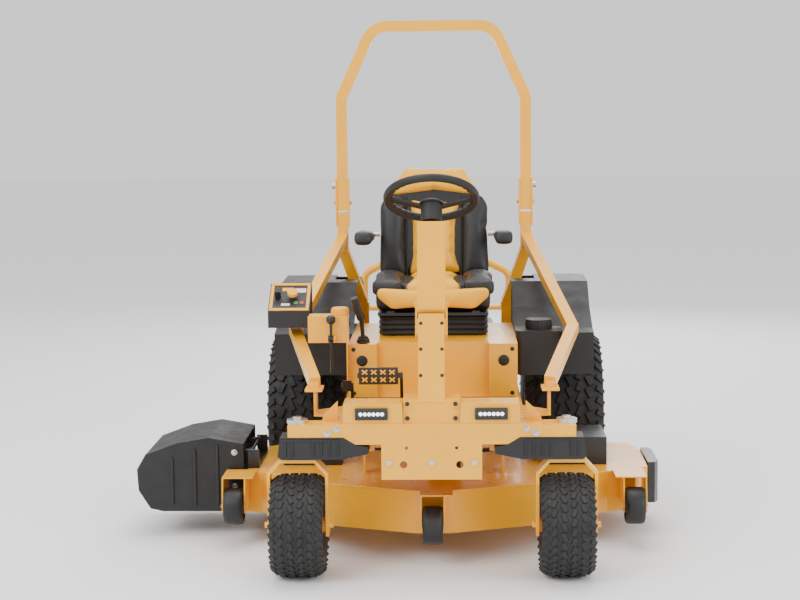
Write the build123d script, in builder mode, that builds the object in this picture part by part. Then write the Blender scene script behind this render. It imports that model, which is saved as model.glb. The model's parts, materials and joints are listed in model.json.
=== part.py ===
from build123d import *
import os
from math import cos, radians, sin

os.makedirs("parts", exist_ok=True)

# Zero-turn riding mower with a steering wheel. Millimetres, +Z up, front towards -Y,
# operator's left towards +X. Pieces are drawn from the front axle and the midline on the ground,
# and save() moves them so that the middle of the footprint is the origin.

# ---- driving dimensions -------------------------------------------------------------------
WHEELBASE = 1290.0
FRONT_TRACK = 856.0
FRONT_TYRE_R = 167.0
FRONT_TYRE_W = 168.0
REAR_TYRE_R = 305.0
REAR_TYRE_W = 298.0
REAR_WIDTH = 1280.0
GUARD_REAR_Y = 1900.0
CHUTE_REACH = 1045.0
BUMPER_REACH = 790.0
SLIP = 0.3
RUNNING = 0.05

RAIL_X = 210.0
RAIL_W = 50.0
RAIL_H = 76.0
RAIL_TOP = 476.0
RAIL_FRONT_Y = 42.0
RAIL_REAR_Y = 1780.0

BEAM_HALF = 455.0
BEAM_TOP = 500.0
BEAM_END_LOW = 461.0
BEAM_LOW = 438.0
BEAM_REAR = 40.0
KINGPIN_R = 16.0
KINGPIN_BOSS_R = 29.0
PLATE_HALF = 159.0
PLATE_Y = -50.0
PLATE_LOW = 325.0
PLATE_T = 8.0
PLATE_HOLE_R = 12.0
PLATE_HOLE_X = 89.0
PLATE_HOLE_Z = 373.0

FORK_HALF = 98.0
FORK_BAR = 10.0
FORK_D = 64.0
FORK_TOP = 385.0
FORK_LOW = 137.0
AXLE_R = 9.5
FRONT_RIM_R = 76.0

DECK_TOP = 238.0
DECK_LOW = 95.0
DECK_WALL = 5.0
DECK_OFFSET = 37.0
DECK_REAR = 960.0
DECK_DROP = 75.0
SPINDLE_PITCH = 450.0
CENTRE_SPINDLE_Y = 520.0
OUTER_SPINDLE_Y = 700.0
BLADE_R = 235.0
BLADE_Z = 118.0
SPINDLE_R = 12.5
SPINDLE_HOUSING_R = 42.0
GAUGE_R = 63.0
GAUGE_W = 66.0
GAUGE_AXLE_R = 6.0

FLOOR_TOP = 504.0
FLOOR_T = 4.0
COLUMN_LEAN = 30.0
COLUMN_FOOT_Y = 20.0
COLUMN_FOOT_Z = 578.0
COLUMN_JOINT_Z = 815.0
COLUMN_W = 84.0
COLUMN_D = 70.0
UPPER_W = 92.0
UPPER_LENGTH = 330.0
UPPER_D = 78.0
PIVOT_UP = 45.0
HUB_UP = 400.0
RIM_UP = 435.0
WHEEL_R = 162.0
WHEEL_RIM_R = 13.5
SHAFT_R = 11.0

TOWER_IN = 192.0
TOWER_OUT = 290.0
TOWER_TOP = 690.0
SEAT_BOX_Y = 430.0
SEAT_BOX_REAR = 990.0
SEAT_BASE_Z = 694.0
CUSHION_LOW = 784.3
CUSHION_TOP = 880.0
CUSHION_HALF = 222.0
CUSHION_FRONT = 560.0
CUSHION_REAR = 985.0
BACK_T = 95.0
BACK_HALF = 215.0
BACK_TOP = 1280.0
BACK_LEAN = 8.0

ROPS_Y = 1128.0
ROPS_HALF = 368.0
ROPS_TUBE = 40.0
ROPS_TOP = 1820.0
ROPS_FOLD_Z = 1138.0
ROPS_KNEE_Z = 1534.0
ROPS_SHOULDER_X = 286.0
ROPS_SHOULDER_Z = 1713.0
BRACE_X = 490.0
BRACE_Y = 610.0
BRACE_Z = 716.0
BRACE_TUBE = 38.0
FOOT_X = 385.0
FOOT_Z = 600.0
PLATFORM_HALF = 300.0
TOE_IN = 90.0
TOE_OUT = 280.0
TOE_REAR = 60.0
TOE_TOP = 568.0
LAMP_X = 189.0
LAMP_Z = 536.0
LAMP_W = 100.0
LAMP_H = 34.0
PLUG_X = 243.0
PLUG_Z = 633.0
PLUG_R = 14.0
SMALL_HOLE_X = 79.0
SMALL_HOLE_Z = 427.0
SMALL_HOLE_R = 5.5
ENGINE_Y = 1440.0
ENGINE_PLATE_TOP = 482.0
CLUTCH_HOLE_R = 60.0
HITCH_HALF = 60.0
HITCH_REACH = 70.0
HITCH_Y = RAIL_REAR_Y + 40.0
HITCH_T = 10.0
HITCH_R = 9.5
CROSS_TUBE_YS = (200.0, 420.0, 900.0)
FENDER_IN = TOWER_OUT
FENDER_OUT = 573.0
FENDER_TOP = 700.0
FENDER_WALL = 6.0
CUP_X = 350.0
CUP_Y = 800.0
CUP_TOP = 722.0
CUP_R = 40.0
CUP_DEPTH = 90.0
TANK_OUT = 452.0
TANK_TOP = 715.0
CAP_X = 372.0
CAP_Y = 632.0
CAP_R = 46.0
CAP_H = 34.0
NECK_R = 28.0
NECK_H = 20.0
BRACKET_OUT = 425.0
BRACKET_Y = 400.0
BRACKET_LOW = 700.0
BRACKET_TOP = 790.0
LEVER_X = 345.0
LEVER_PIN_R = 6.0
DIAL_X = 318.0
DIAL_Y = 452.0
DIAL_PIN_R = 5.0
DIAL_PIN_H = 20.0
BOX_OUT = 570.0
BOX_Y = 478.0
BOX_REAR = 600.0
BOX_LOW = 742.0
BOX_FRONT_TOP = 800.0
BOX_TOP = 884.0
KNOB_ACROSS = 10.0
KNOB_STEM_R = 5.0
KNOB_R = 18.0
KEY_ACROSS = -42.0
KEY_BARREL_R = 10.0
STEM_DEPTH = 40.0
BRAKE_Y = 382.0
BRAKE_Z = 716.0
KNOB_Z = 782.0
LIFT_X = 241.0
LIFT_Y = 480.0
LIFT_Z = 600.0
DIAL_R = 30.0
PEDAL_Z = 526.0
PEDAL_PIN_R = 5.0
FWD_ARM_X = -98.0
FWD_PIVOT_Y = 140.0
REV_ARM_X = -262.0
REV_PIVOT_Y = 190.0
LEG_FOOT_X = 276.0
FOLD_PIN_R = 8.0
GUARD_R = 16.0
GUARD_X = 310.0
GUARD_Z = 850.0
GUARD_BAR_Z = 640.0
ENGINE_TOP = 690.0
TRANSAXLE_OUT = 318.0
HUB_OUT = 455.0
REAR_AXLE_R = 17.5
REAR_RIM_R = 152.0
COVER_LOW = 391.0
CAP_DISC_R = 33.0
DECK_LEFT = -655.0
DECK_RIGHT = 752.0
GAUGE_X = 685.0
GAUGE_Y = 365.0
GAUGE_CENTRE_Y = 96.0
HOUSING_TOP = 285.0
BELT_Z = 302.0
BELT_T = 8.0
PULLEY_R = 66.0
COVER_FRONT = 570.0
COVER_REAR = 800.0
COVER_TOP = 336.0
CHUTE_IN = -668.0
CHUTE_TOP = 352.0
CHUTE_FRONT = 500.0
CHUTE_REAR = 860.0
HINGE_X = -646.0
HINGE_Z = 292.0
HINGE_FRONT = 530.0
HINGE_REAR = 800.0
HINGE_PIN_R = 6.0
SEAT_PAN_Z = 768.0
BACK_PIVOT_Y = 1042.0
BACK_PIVOT_Z = 842.0
BACK_PIN_R = 8.0
ARM_IN = 222.0
ARM_OUT = 290.0
ARM_Y = 1060.0
ARM_Z = 1020.0
ARM_FRONT = 790.0
ARM_PIN_R = 9.0

# ---- placing --------------------------------------------------------------------------------
OFFSET_X = (CHUTE_REACH - BUMPER_REACH) / 2
OFFSET_Y = -(GUARD_REAR_Y - FRONT_TYRE_R) / 2


def save(piece, name):
    """Move a finished piece to the footprint's middle, label it and write it."""
    placed = piece.part.moved(Location((OFFSET_X, OFFSET_Y, 0)))
    placed.label = name
    export_step(placed, f"parts/{name}.step")


def box_between(low, high, mode=Mode.ADD):
    """A box from its low corner to its high corner."""
    size = [b - a for a, b in zip(low, high)]
    centre = [(a + b) / 2 for a, b in zip(low, high)]
    with Locations(tuple(centre)):
        Box(*size, mode=mode)


def rod_between(start, end, radius, mode=Mode.ADD):
    """A round rod from one point to another."""
    run = Vector(*end) - Vector(*start)
    with BuildSketch(Plane(origin=start, z_dir=run)) as section:
        Circle(radius)
    extrude(section.sketch, amount=run.length, mode=mode)


def bar_between(start, end, width, depth, across=(1, 0, 0), mode=Mode.ADD):
    """A rectangular bar from one point to another; width lies along across."""
    run = Vector(*end) - Vector(*start)
    with BuildSketch(Plane(origin=start, x_dir=across, z_dir=run)) as section:
        Rectangle(width, depth)
    extrude(section.sketch, amount=run.length, mode=mode)


def panel_x(outline, x0, x1, mode=Mode.ADD):
    """A panel with its outline in Y and Z, from x0 to x1."""
    with BuildSketch(Plane.YZ.offset(x0)) as section:
        with BuildLine():
            Polyline(*outline, close=True)
        make_face()
    extrude(section.sketch, amount=x1 - x0, mode=mode)


def panel_y(outline, y0, y1, mode=Mode.ADD):
    """A panel with its outline in X and Z, from y0 back to y1."""
    with BuildSketch(Plane(origin=(0, y1, 0), x_dir=(1, 0, 0), z_dir=(0, -1, 0))) as section:
        with BuildLine():
            Polyline(*outline, close=True)
        make_face()
    extrude(section.sketch, amount=y1 - y0, mode=mode)


def panel_z(outline, z0, z1, mode=Mode.ADD):
    """A panel with its outline in X and Y, from z0 up to z1."""
    with BuildSketch(Plane.XY.offset(z0)) as section:
        with BuildLine():
            Polyline(*outline, close=True)
        make_face()
    extrude(section.sketch, amount=z1 - z0, mode=mode)


def wheel_profile(x_centre, y, z, points, mode=Mode.ADD):
    """Revolve a ring about the X axis; points are (distance from the mid plane, radius)."""
    with BuildSketch(Plane(origin=(x_centre, y, z), x_dir=(1, 0, 0), z_dir=(0, -1, 0))) as section:
        with BuildLine():
            Polyline(*points, close=True)
        make_face()
    revolve(section.sketch, axis=Axis((x_centre, y, z), (1, 0, 0)), mode=mode)


# ---- chassis ----------------------------------------------------------------------------------
def make_main_frame():
    with BuildPart() as main_frame:
        for side in (-1, 1):
            x0 = side * RAIL_X - RAIL_W / 2
            x1 = side * RAIL_X + RAIL_W / 2
            box_between((x0, RAIL_FRONT_Y, RAIL_TOP - RAIL_H), (x1, RAIL_REAR_Y, RAIL_TOP))
            wall = 4.0
            box_between((x0 + wall, RAIL_FRONT_Y, RAIL_TOP - RAIL_H + wall),
                        (x1 - wall, RAIL_REAR_Y - wall, RAIL_TOP - wall), mode=Mode.SUBTRACT)
        for y in CROSS_TUBE_YS:
            box_between((-TOWER_OUT, y - 20, RAIL_TOP), (TOWER_OUT, y + 20, FLOOR_TOP - FLOOR_T))
        for y in (RAIL_FRONT_Y + 20, RAIL_REAR_Y - 30):
            box_between((-RAIL_X + RAIL_W / 2, y - 20, RAIL_TOP - RAIL_H + 10),
                        (RAIL_X - RAIL_W / 2, y + 20, RAIL_TOP - 10))
        box_between((-RAIL_X - RAIL_W / 2, ENGINE_Y - 190, RAIL_TOP),
                    (RAIL_X + RAIL_W / 2, RAIL_REAR_Y, ENGINE_PLATE_TOP))
        with BuildSketch(Plane.XY.offset(ENGINE_PLATE_TOP)):
            with Locations((0, ENGINE_Y)):
                Circle(CLUTCH_HOLE_R)
        extrude(amount=-(ENGINE_PLATE_TOP - RAIL_TOP), mode=Mode.SUBTRACT)
        box_between((-HITCH_HALF, RAIL_REAR_Y - 20, RAIL_TOP - RAIL_H),
                    (HITCH_HALF, RAIL_REAR_Y + HITCH_REACH, RAIL_TOP - RAIL_H + HITCH_T))
        with BuildSketch(Plane.XY.offset(RAIL_TOP - RAIL_H)):
            with Locations((0, HITCH_Y)):
                Circle(HITCH_R)
        extrude(amount=HITCH_T, mode=Mode.SUBTRACT)
        for side in (-1, 1):
            foot = side * (RAIL_X + RAIL_W / 2)
            end = side * (LEG_FOOT_X + 30)
            box_between((min(foot, end), ROPS_Y + 50, RAIL_TOP - 30),
                        (max(foot, end), ROPS_Y + 150, RAIL_TOP - 10))
    save(main_frame, "main_frame")


def beam_outline():
    return [(-BEAM_HALF, BEAM_END_LOW), (-279, BEAM_END_LOW), (-241, BEAM_LOW), (241, BEAM_LOW),
            (279, BEAM_END_LOW), (BEAM_HALF, BEAM_END_LOW), (BEAM_HALF, BEAM_TOP), (-BEAM_HALF, BEAM_TOP)]


def make_front_beam():
    with BuildPart() as front_beam:
        panel_y(beam_outline(), PLATE_Y, BEAM_REAR)
        box_between((-BEAM_HALF + 70, PLATE_Y + 6, BEAM_END_LOW - 60), (BEAM_HALF - 70, BEAM_REAR - 6,
                    BEAM_TOP - 6), mode=Mode.SUBTRACT)
        box_between((-PLATE_HALF, PLATE_Y, PLATE_LOW), (PLATE_HALF, PLATE_Y + PLATE_T, BEAM_LOW))
        for x in (-PLATE_HALF, PLATE_HALF - 6):
            box_between((x, PLATE_Y, PLATE_LOW), (x + 6, BEAM_REAR, BEAM_LOW))
        for side in (-1, 1):
            rail_face = side * RAIL_X
            box_between((rail_face - RAIL_W / 2, BEAM_REAR - 6, RAIL_TOP - RAIL_H),
                        (rail_face + RAIL_W / 2, RAIL_FRONT_Y, RAIL_TOP))
            with BuildSketch(Plane.XY.offset(FORK_TOP + SLIP)):
                with Locations((side * FRONT_TRACK / 2, 0)):
                    Circle(KINGPIN_BOSS_R)
            extrude(amount=BEAM_TOP - FORK_TOP - SLIP)
            with BuildSketch(Plane.XY.offset(FORK_TOP)):
                with Locations((side * FRONT_TRACK / 2, 0)):
                    Circle(KINGPIN_R + RUNNING)
            extrude(amount=BEAM_TOP - FORK_TOP, mode=Mode.SUBTRACT)
            gusset = [(side * 352, BEAM_TOP), (side * 345, 522), (side * 300, 566), (side * 300, BEAM_TOP)]
            panel_y(gusset, 20, 28)
        front = Plane(origin=(0, PLATE_Y, 0), x_dir=(1, 0, 0), z_dir=(0, -1, 0))
        with BuildSketch(front):
            with Locations((-PLATE_HOLE_X, PLATE_HOLE_Z), (PLATE_HOLE_X, PLATE_HOLE_Z)):
                Circle(PLATE_HOLE_R)
            with Locations((-SMALL_HOLE_X, SMALL_HOLE_Z), (SMALL_HOLE_X, SMALL_HOLE_Z)):
                Circle(SMALL_HOLE_R)
        extrude(amount=-PLATE_T, mode=Mode.SUBTRACT)
    save(front_beam, "front_beam")


def make_foot_platform():
    with BuildPart() as foot_platform:
        box_between((-PLATFORM_HALF, PLATE_Y, FLOOR_TOP - FLOOR_T), (PLATFORM_HALF, SEAT_BOX_REAR, FLOOR_TOP))
        for side in (-1, 1):
            outer = [(side * TOE_IN, FLOOR_TOP), (side * TOE_OUT, FLOOR_TOP), (side * (TOE_OUT - 2), TOE_TOP),
                     (side * (TOE_IN + 2), TOE_TOP)]
            panel_y(outer, PLATE_Y + 4, TOE_REAR)
            x0 = min(side * (TOE_IN + 6), side * (TOE_OUT - 6))
            x1 = max(side * (TOE_IN + 6), side * (TOE_OUT - 6))
            box_between((x0, PLATE_Y + 8, FLOOR_TOP), (x1, TOE_REAR, TOE_TOP - 4), mode=Mode.SUBTRACT)
            lamp_x = side * LAMP_X
            box_between((lamp_x - LAMP_W / 2, PLATE_Y - 5, LAMP_Z - LAMP_H / 2),
                        (lamp_x + LAMP_W / 2, PLATE_Y + 20, LAMP_Z + LAMP_H / 2), mode=Mode.SUBTRACT)
            wing = [(side * PLATFORM_HALF, PLATE_Y + 130), (side * FOOT_X, PLATE_Y + 160),
                    (side * FOOT_X, PLATE_Y + 250), (side * PLATFORM_HALF, PLATE_Y + 330)]
            panel_z(wing, FLOOR_TOP - FLOOR_T, FLOOR_TOP)
            post_x = side * FOOT_X
            box_between((min(post_x, post_x - side * 8), PLATE_Y + 170, FLOOR_TOP),
                        (max(post_x, post_x - side * 8), PLATE_Y + 240, FOOT_Z - 20))
        pedal_lugs(FWD_ARM_X, FWD_PIVOT_Y)
        pedal_lugs(REV_ARM_X, REV_PIVOT_Y)
    save(foot_platform, "foot_platform")


def make_headlights():
    with BuildPart() as headlights:
        for side in (-1, 1):
            lamp_x = side * LAMP_X
            box_between((lamp_x - LAMP_W / 2, PLATE_Y - 4, LAMP_Z - LAMP_H / 2),
                        (lamp_x + LAMP_W / 2, PLATE_Y + 20, LAMP_Z + LAMP_H / 2))
    save(headlights, "headlights")


def make_seat_box():
    wall = 4.0
    with BuildPart() as seat_box:
        for side in (-1, 1):
            x0 = min(side * TOWER_IN, side * TOWER_OUT)
            x1 = max(side * TOWER_IN, side * TOWER_OUT)
            box_between((x0, SEAT_BOX_Y, FLOOR_TOP), (x1, SEAT_BOX_REAR, TOWER_TOP))
            box_between((x0 + wall, SEAT_BOX_Y + wall, FLOOR_TOP), (x1 - wall, SEAT_BOX_REAR - wall,
                        TOWER_TOP - wall), mode=Mode.SUBTRACT)
        box_between((-TOWER_IN - 1, SEAT_BOX_Y + 20, FLOOR_TOP), (TOWER_IN + 1, SEAT_BOX_Y + 20 + wall, TOWER_TOP))
        box_between((-TOWER_IN - 1, SEAT_BOX_Y + 20, TOWER_TOP - wall), (TOWER_IN + 1, SEAT_BOX_REAR, SEAT_BASE_Z))
        with BuildSketch(Plane(origin=(0, SEAT_BOX_Y, 0), x_dir=(1, 0, 0), z_dir=(0, -1, 0))):
            with Locations((-PLUG_X, PLUG_Z), (PLUG_X, PLUG_Z)):
                Circle(PLUG_R)
        extrude(amount=-wall, mode=Mode.SUBTRACT)
        box_between((-LIFT_X - 16, LIFT_Y - 40, TOWER_TOP - wall), (-LIFT_X + 16, LIFT_Y + 110, TOWER_TOP),
                    mode=Mode.SUBTRACT)
        rod_between((-TOWER_OUT + wall / 2, LIFT_Y, LIFT_Z), (-TOWER_IN - wall / 2, LIFT_Y, LIFT_Z), LEVER_PIN_R)
    save(seat_box, "seat_box")


# ---- steering -----------------------------------------------------------------------------------
COLUMN_AXIS = Vector(0, sin(radians(COLUMN_LEAN)), cos(radians(COLUMN_LEAN)))
JOINT_RISE = (COLUMN_JOINT_Z - COLUMN_FOOT_Z) / cos(radians(COLUMN_LEAN))
COLUMN_FOOT = Vector(0, COLUMN_FOOT_Y, COLUMN_FOOT_Z)
COLUMN_JOINT = COLUMN_FOOT + COLUMN_AXIS * JOINT_RISE
TILT_PIVOT = COLUMN_JOINT + COLUMN_AXIS * PIVOT_UP


def column_plane(up):
    """A plane square to the column, the given distance above its joint; X stays across."""
    return Plane(origin=COLUMN_JOINT + COLUMN_AXIS * up, x_dir=(1, 0, 0), z_dir=COLUMN_AXIS)


def make_column_base():
    wall = 4.0
    with BuildPart() as column_base:
        outline = [(PLATE_Y + 10, FLOOR_TOP), (100, FLOOR_TOP), (80, COLUMN_FOOT_Z), (-20, COLUMN_FOOT_Z)]
        half = TOE_IN - SLIP
        panel_x(outline, -half, half)
        with BuildSketch(column_plane(-JOINT_RISE - 30)):
            Rectangle(COLUMN_W, COLUMN_D)
        extrude(amount=JOINT_RISE + 30)
        with BuildSketch(column_plane(-JOINT_RISE)):
            Rectangle(COLUMN_W - 2 * wall, COLUMN_D - 2 * wall)
        extrude(amount=JOINT_RISE, mode=Mode.SUBTRACT)
        for side in (-1, 1):
            with BuildSketch(column_plane(-70)):
                with Locations((side * (UPPER_W / 2 + SLIP + 3), 0)):
                    Rectangle(6, 44)
            extrude(amount=70 + PIVOT_UP + 22)
            with BuildSketch(column_plane(-70)):
                with Locations((side * (COLUMN_W / 2 + UPPER_W / 2 + SLIP) / 2, 0)):
                    Rectangle((UPPER_W - COLUMN_W) / 2 + SLIP + 1, 44)
            extrude(amount=60)
        with BuildSketch(Plane.YZ):
            with Locations((TILT_PIVOT.Y, TILT_PIVOT.Z)):
                Circle(8)
        extrude(amount=UPPER_W / 2 + 12, both=True)
    save(column_base, "column_base")


def make_steering_column():
    with BuildPart() as steering_column:
        with BuildSketch(column_plane(PIVOT_UP)):
            Rectangle(UPPER_W, UPPER_D)
        extrude(amount=UPPER_LENGTH - PIVOT_UP)
        with BuildSketch(Plane.YZ.offset(-UPPER_W / 2)):
            with Locations((TILT_PIVOT.Y, TILT_PIVOT.Z)):
                Circle(UPPER_D / 2)
        extrude(amount=UPPER_W)
        with BuildSketch(Plane.YZ):
            with Locations((TILT_PIVOT.Y, TILT_PIVOT.Z)):
                Circle(8 + RUNNING)
        extrude(amount=UPPER_W, both=True, mode=Mode.SUBTRACT)
        with BuildSketch(column_plane(UPPER_LENGTH)):
            Circle(SHAFT_R + RUNNING)
        extrude(amount=-120, mode=Mode.SUBTRACT)
        with BuildSketch(column_plane(PIVOT_UP + UPPER_D / 2 + 6)):
            Rectangle(UPPER_W - 8, UPPER_D - 8)
        extrude(amount=UPPER_LENGTH - PIVOT_UP - UPPER_D / 2 - 26, mode=Mode.SUBTRACT)
    save(steering_column, "steering_column")


def make_steering_wheel():
    ring_r = WHEEL_R - WHEEL_RIM_R
    with BuildPart() as steering_wheel:
        with BuildSketch(column_plane(UPPER_LENGTH - 110)):
            Circle(SHAFT_R)
        extrude(amount=HUB_UP - UPPER_LENGTH + 110)
        with BuildSketch(column_plane(UPPER_LENGTH + 12)):
            Circle(36)
        extrude(amount=HUB_UP - UPPER_LENGTH)
        rim_centre = COLUMN_JOINT + COLUMN_AXIS * RIM_UP
        rim_start = rim_centre + Vector(ring_r, 0, 0)
        with BuildSketch(Plane(origin=rim_start, x_dir=(1, 0, 0), z_dir=(0, COLUMN_AXIS.Z, -COLUMN_AXIS.Y))):
            Circle(WHEEL_RIM_R)
        revolve(axis=Axis(rim_centre, COLUMN_AXIS))
        hub_top = COLUMN_JOINT + COLUMN_AXIS * (HUB_UP + 2)
        across = COLUMN_AXIS.cross(Vector(1, 0, 0))
        for angle in (0, 90, 180):
            outward = Vector(1, 0, 0) * cos(radians(angle)) + across * sin(radians(angle))
            start = hub_top + outward * 25
            end = rim_centre + outward * ring_r
            bar_between(start, end, 26, 9, across=COLUMN_AXIS.cross(outward))
    save(steering_wheel, "steering_wheel")


# ---- body panels --------------------------------------------------------------------------------
def make_fender(side, name):
    """A moulded guard over the inner part of a rear wheel and down in front of it."""
    tyre_gap = 28.0
    arch = REAR_TYRE_R + tyre_gap
    rear_y = WHEELBASE + 150
    with BuildPart() as fender:
        outline = [(700, 540), (900, 520), (WHEELBASE - 260, 640), (WHEELBASE - 150, 700), (rear_y, 720),
                   (rear_y, 800), (WHEELBASE - 60, 850), (1000, 845), (900, 760), (760, FENDER_TOP), (700, 690)]
        x0 = min(side * FENDER_IN, side * FENDER_OUT)
        x1 = max(side * FENDER_IN, side * FENDER_OUT)
        panel_x(outline, x0, x1)
        with BuildSketch(Plane.YZ.offset(x0 + FENDER_WALL)) as inside:
            with BuildLine():
                Polyline(*outline, close=True)
            make_face()
            offset(amount=-FENDER_WALL, kind=Kind.INTERSECTION, mode=Mode.REPLACE)
        extrude(inside.sketch, amount=x1 - x0 - 2 * FENDER_WALL, mode=Mode.SUBTRACT)
        with BuildSketch(Plane.YZ.offset(x0)):
            with Locations((WHEELBASE, REAR_TYRE_R)):
                Circle(arch)
        extrude(amount=x1 - x0, mode=Mode.SUBTRACT)
        leg_low = min(side * (FENDER_IN - 5), side * (ROPS_HALF + 12))
        leg_high = max(side * (FENDER_IN - 5), side * (ROPS_HALF + 12))
        box_between((leg_low, ROPS_Y - 40, 500), (leg_high, ROPS_Y + 150, 900), mode=Mode.SUBTRACT)
        if side < 0:
            cup_holder()
    save(fender, name)


def cup_holder():
    """A round well let into the right fender."""
    with Locations((-CUP_X, CUP_Y, CUP_TOP - CUP_DEPTH / 2)):
        Cylinder(CUP_R + 4, CUP_DEPTH)
        Cylinder(CUP_R, CUP_DEPTH - 8, mode=Mode.SUBTRACT)
    with Locations((-CUP_X, CUP_Y, CUP_TOP + 30)):
        Cylinder(CUP_R, 80, mode=Mode.SUBTRACT)


def make_fuel_tank():
    """Tank in front of the left fender, with a filler neck for the cap."""
    with BuildPart() as fuel_tank:
        box_between((FENDER_IN, 560, 560), (TANK_OUT, 700 - SLIP, TANK_TOP))
        fillet(fuel_tank.edges().filter_by(Axis.Z), 20)
        with BuildSketch(Plane.XY.offset(TANK_TOP)):
            with Locations((CAP_X, CAP_Y)):
                Circle(NECK_R)
        extrude(amount=NECK_H)
    save(fuel_tank, "fuel_tank")


def make_fuel_cap():
    with BuildPart() as fuel_cap:
        with BuildSketch(Plane.XY.offset(TANK_TOP + SLIP)):
            with Locations((CAP_X, CAP_Y)):
                Circle(CAP_R)
        extrude(amount=CAP_H)
        with BuildSketch(Plane.XY.offset(TANK_TOP + SLIP)):
            with Locations((CAP_X, CAP_Y)):
                Circle(NECK_R + RUNNING)
        extrude(amount=NECK_H + SLIP, mode=Mode.SUBTRACT)
    save(fuel_cap, "fuel_cap")


def make_control_bracket():
    """Yellow bracket on the right tower: inner arm, front panel and lever plate."""
    with BuildPart() as control_bracket:
        box_between((-BRACKET_OUT, BRACKET_Y, BRACKET_LOW), (-TOWER_OUT, BRACKET_Y + 4, BRACKET_TOP))
        box_between((-BRACKET_OUT, BRACKET_Y, BRACKET_TOP - 4), (-TOWER_OUT, BRACKET_Y + 90, BRACKET_TOP))
        box_between((-TOWER_OUT - 4, BRACKET_Y, 560), (-TOWER_OUT, BRACKET_Y + 90, BRACKET_TOP))
        box_between((-BRACKET_OUT, BRACKET_Y, BRACKET_LOW), (-BRACKET_OUT + 4, BRACKET_Y + 90, BRACKET_TOP))
        with BuildSketch(Plane.XY.offset(BRACKET_TOP)):
            with Locations((-DIAL_X, DIAL_Y)):
                Circle(DIAL_PIN_R)
        extrude(amount=DIAL_PIN_H)
        make_brake_pin()
    save(control_bracket, "control_bracket")


def make_control_box():
    """Tilted console outboard of the bracket, with holes for the knob stem and the key barrel."""
    with BuildPart() as control_box:
        outline = [(BOX_Y, BOX_LOW), (BOX_REAR, BOX_LOW), (BOX_REAR, BOX_TOP), (BOX_Y, BOX_FRONT_TOP)]
        panel_x(outline, -BOX_OUT, -BRACKET_OUT - SLIP)
        with BuildSketch(panel_plane()):
            with Locations((KNOB_ACROSS, 0)):
                Circle(KNOB_STEM_R + RUNNING)
            with Locations((KEY_ACROSS, 0)):
                Circle(KEY_BARREL_R + RUNNING)
        extrude(amount=-STEM_DEPTH, mode=Mode.SUBTRACT)
    save(control_box, "control_box")


def panel_plane():
    """The console's sloping face: X across, Z out of the face."""
    slope = Vector(0, BOX_REAR - BOX_Y, BOX_TOP - BOX_FRONT_TOP)
    normal = Vector(1, 0, 0).cross(slope)
    centre = ((-BOX_OUT - BRACKET_OUT) / 2, (BOX_Y + BOX_REAR) / 2, (BOX_FRONT_TOP + BOX_TOP) / 2)
    return Plane(origin=centre, x_dir=(1, 0, 0), z_dir=normal)


def make_pto_knob():
    with BuildPart() as pto_knob:
        with BuildSketch(panel_plane()):
            with Locations((KNOB_ACROSS, 0)):
                Circle(KNOB_STEM_R)
        extrude(amount=-STEM_DEPTH + 12)
        with BuildSketch(panel_plane()):
            with Locations((KNOB_ACROSS, 0)):
                Circle(KNOB_STEM_R)
        extrude(amount=16)
        with BuildSketch(panel_plane().offset(14)):
            with Locations((KNOB_ACROSS, 0)):
                Circle(KNOB_R)
        extrude(amount=12)
    save(pto_knob, "pto_knob")


def make_ignition_key():
    with BuildPart() as ignition_key:
        with BuildSketch(panel_plane()):
            with Locations((KEY_ACROSS, 0)):
                Circle(KEY_BARREL_R)
        extrude(amount=-STEM_DEPTH + 2)
        with BuildSketch(panel_plane()):
            with Locations((KEY_ACROSS, 0)):
                Circle(KEY_BARREL_R)
        extrude(amount=6)
        with BuildSketch(panel_plane()):
            with Locations((KEY_ACROSS, 0)):
                Rectangle(20, 5)
        extrude(amount=26)
    save(ignition_key, "ignition_key")


# ---- levers, dial and pedals -------------------------------------------------------------------
def make_brake_lever():
    with BuildPart() as brake_lever:
        with Locations((-LEVER_X, BRAKE_Y, KNOB_Z)):
            Cylinder(16, 32)
        fillet(brake_lever.edges(), 14)
        rod_between((-LEVER_X, BRAKE_Y, 600), (-LEVER_X, BRAKE_Y, KNOB_Z - 10), 5)
        rod_between((-LEVER_X - 8, BRAKE_Y, BRAKE_Z), (-LEVER_X + 8, BRAKE_Y, BRAKE_Z), 11)
        rod_between((-LEVER_X - 30, BRAKE_Y, BRAKE_Z), (-LEVER_X + 30, BRAKE_Y, BRAKE_Z),
                    LEVER_PIN_R + RUNNING, mode=Mode.SUBTRACT)
    save(brake_lever, "brake_lever")


def make_brake_pin():
    """Ears and pin that carry the brake lever, added to the control bracket."""
    for side in (-1, 1):
        x = -LEVER_X + side * 13
        box_between((x - 2.5, BRAKE_Y - 11, BRAKE_Z - 11), (x + 2.5, BRACKET_Y, BRAKE_Z + 11))
    rod_between((-LEVER_X - 18, BRAKE_Y, BRAKE_Z), (-LEVER_X + 18, BRAKE_Y, BRAKE_Z), LEVER_PIN_R)


def make_lift_lever():
    with BuildPart() as lift_lever:
        rod_between((-LIFT_X, LIFT_Y, LIFT_Z), (-LIFT_X, LIFT_Y - 12, TOWER_TOP + 20), 7)
        rod_between((-LIFT_X, LIFT_Y - 12, TOWER_TOP + 20), (-LIFT_X - 4, LIFT_Y - 30, 778), 7)
        with Locations((-LIFT_X, LIFT_Y - 12, TOWER_TOP + 20)):
            Sphere(7.5)
        rod_between((-LIFT_X - 4, LIFT_Y - 30, 775), (-LIFT_X - 27, LIFT_Y - 50, 850), 14)
        rod_between((-LIFT_X - 12, LIFT_Y, LIFT_Z), (-LIFT_X + 12, LIFT_Y, LIFT_Z), 14)
        rod_between((-LIFT_X - 30, LIFT_Y, LIFT_Z), (-LIFT_X + 30, LIFT_Y, LIFT_Z),
                    LEVER_PIN_R + RUNNING, mode=Mode.SUBTRACT)
    save(lift_lever, "lift_lever")


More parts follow.
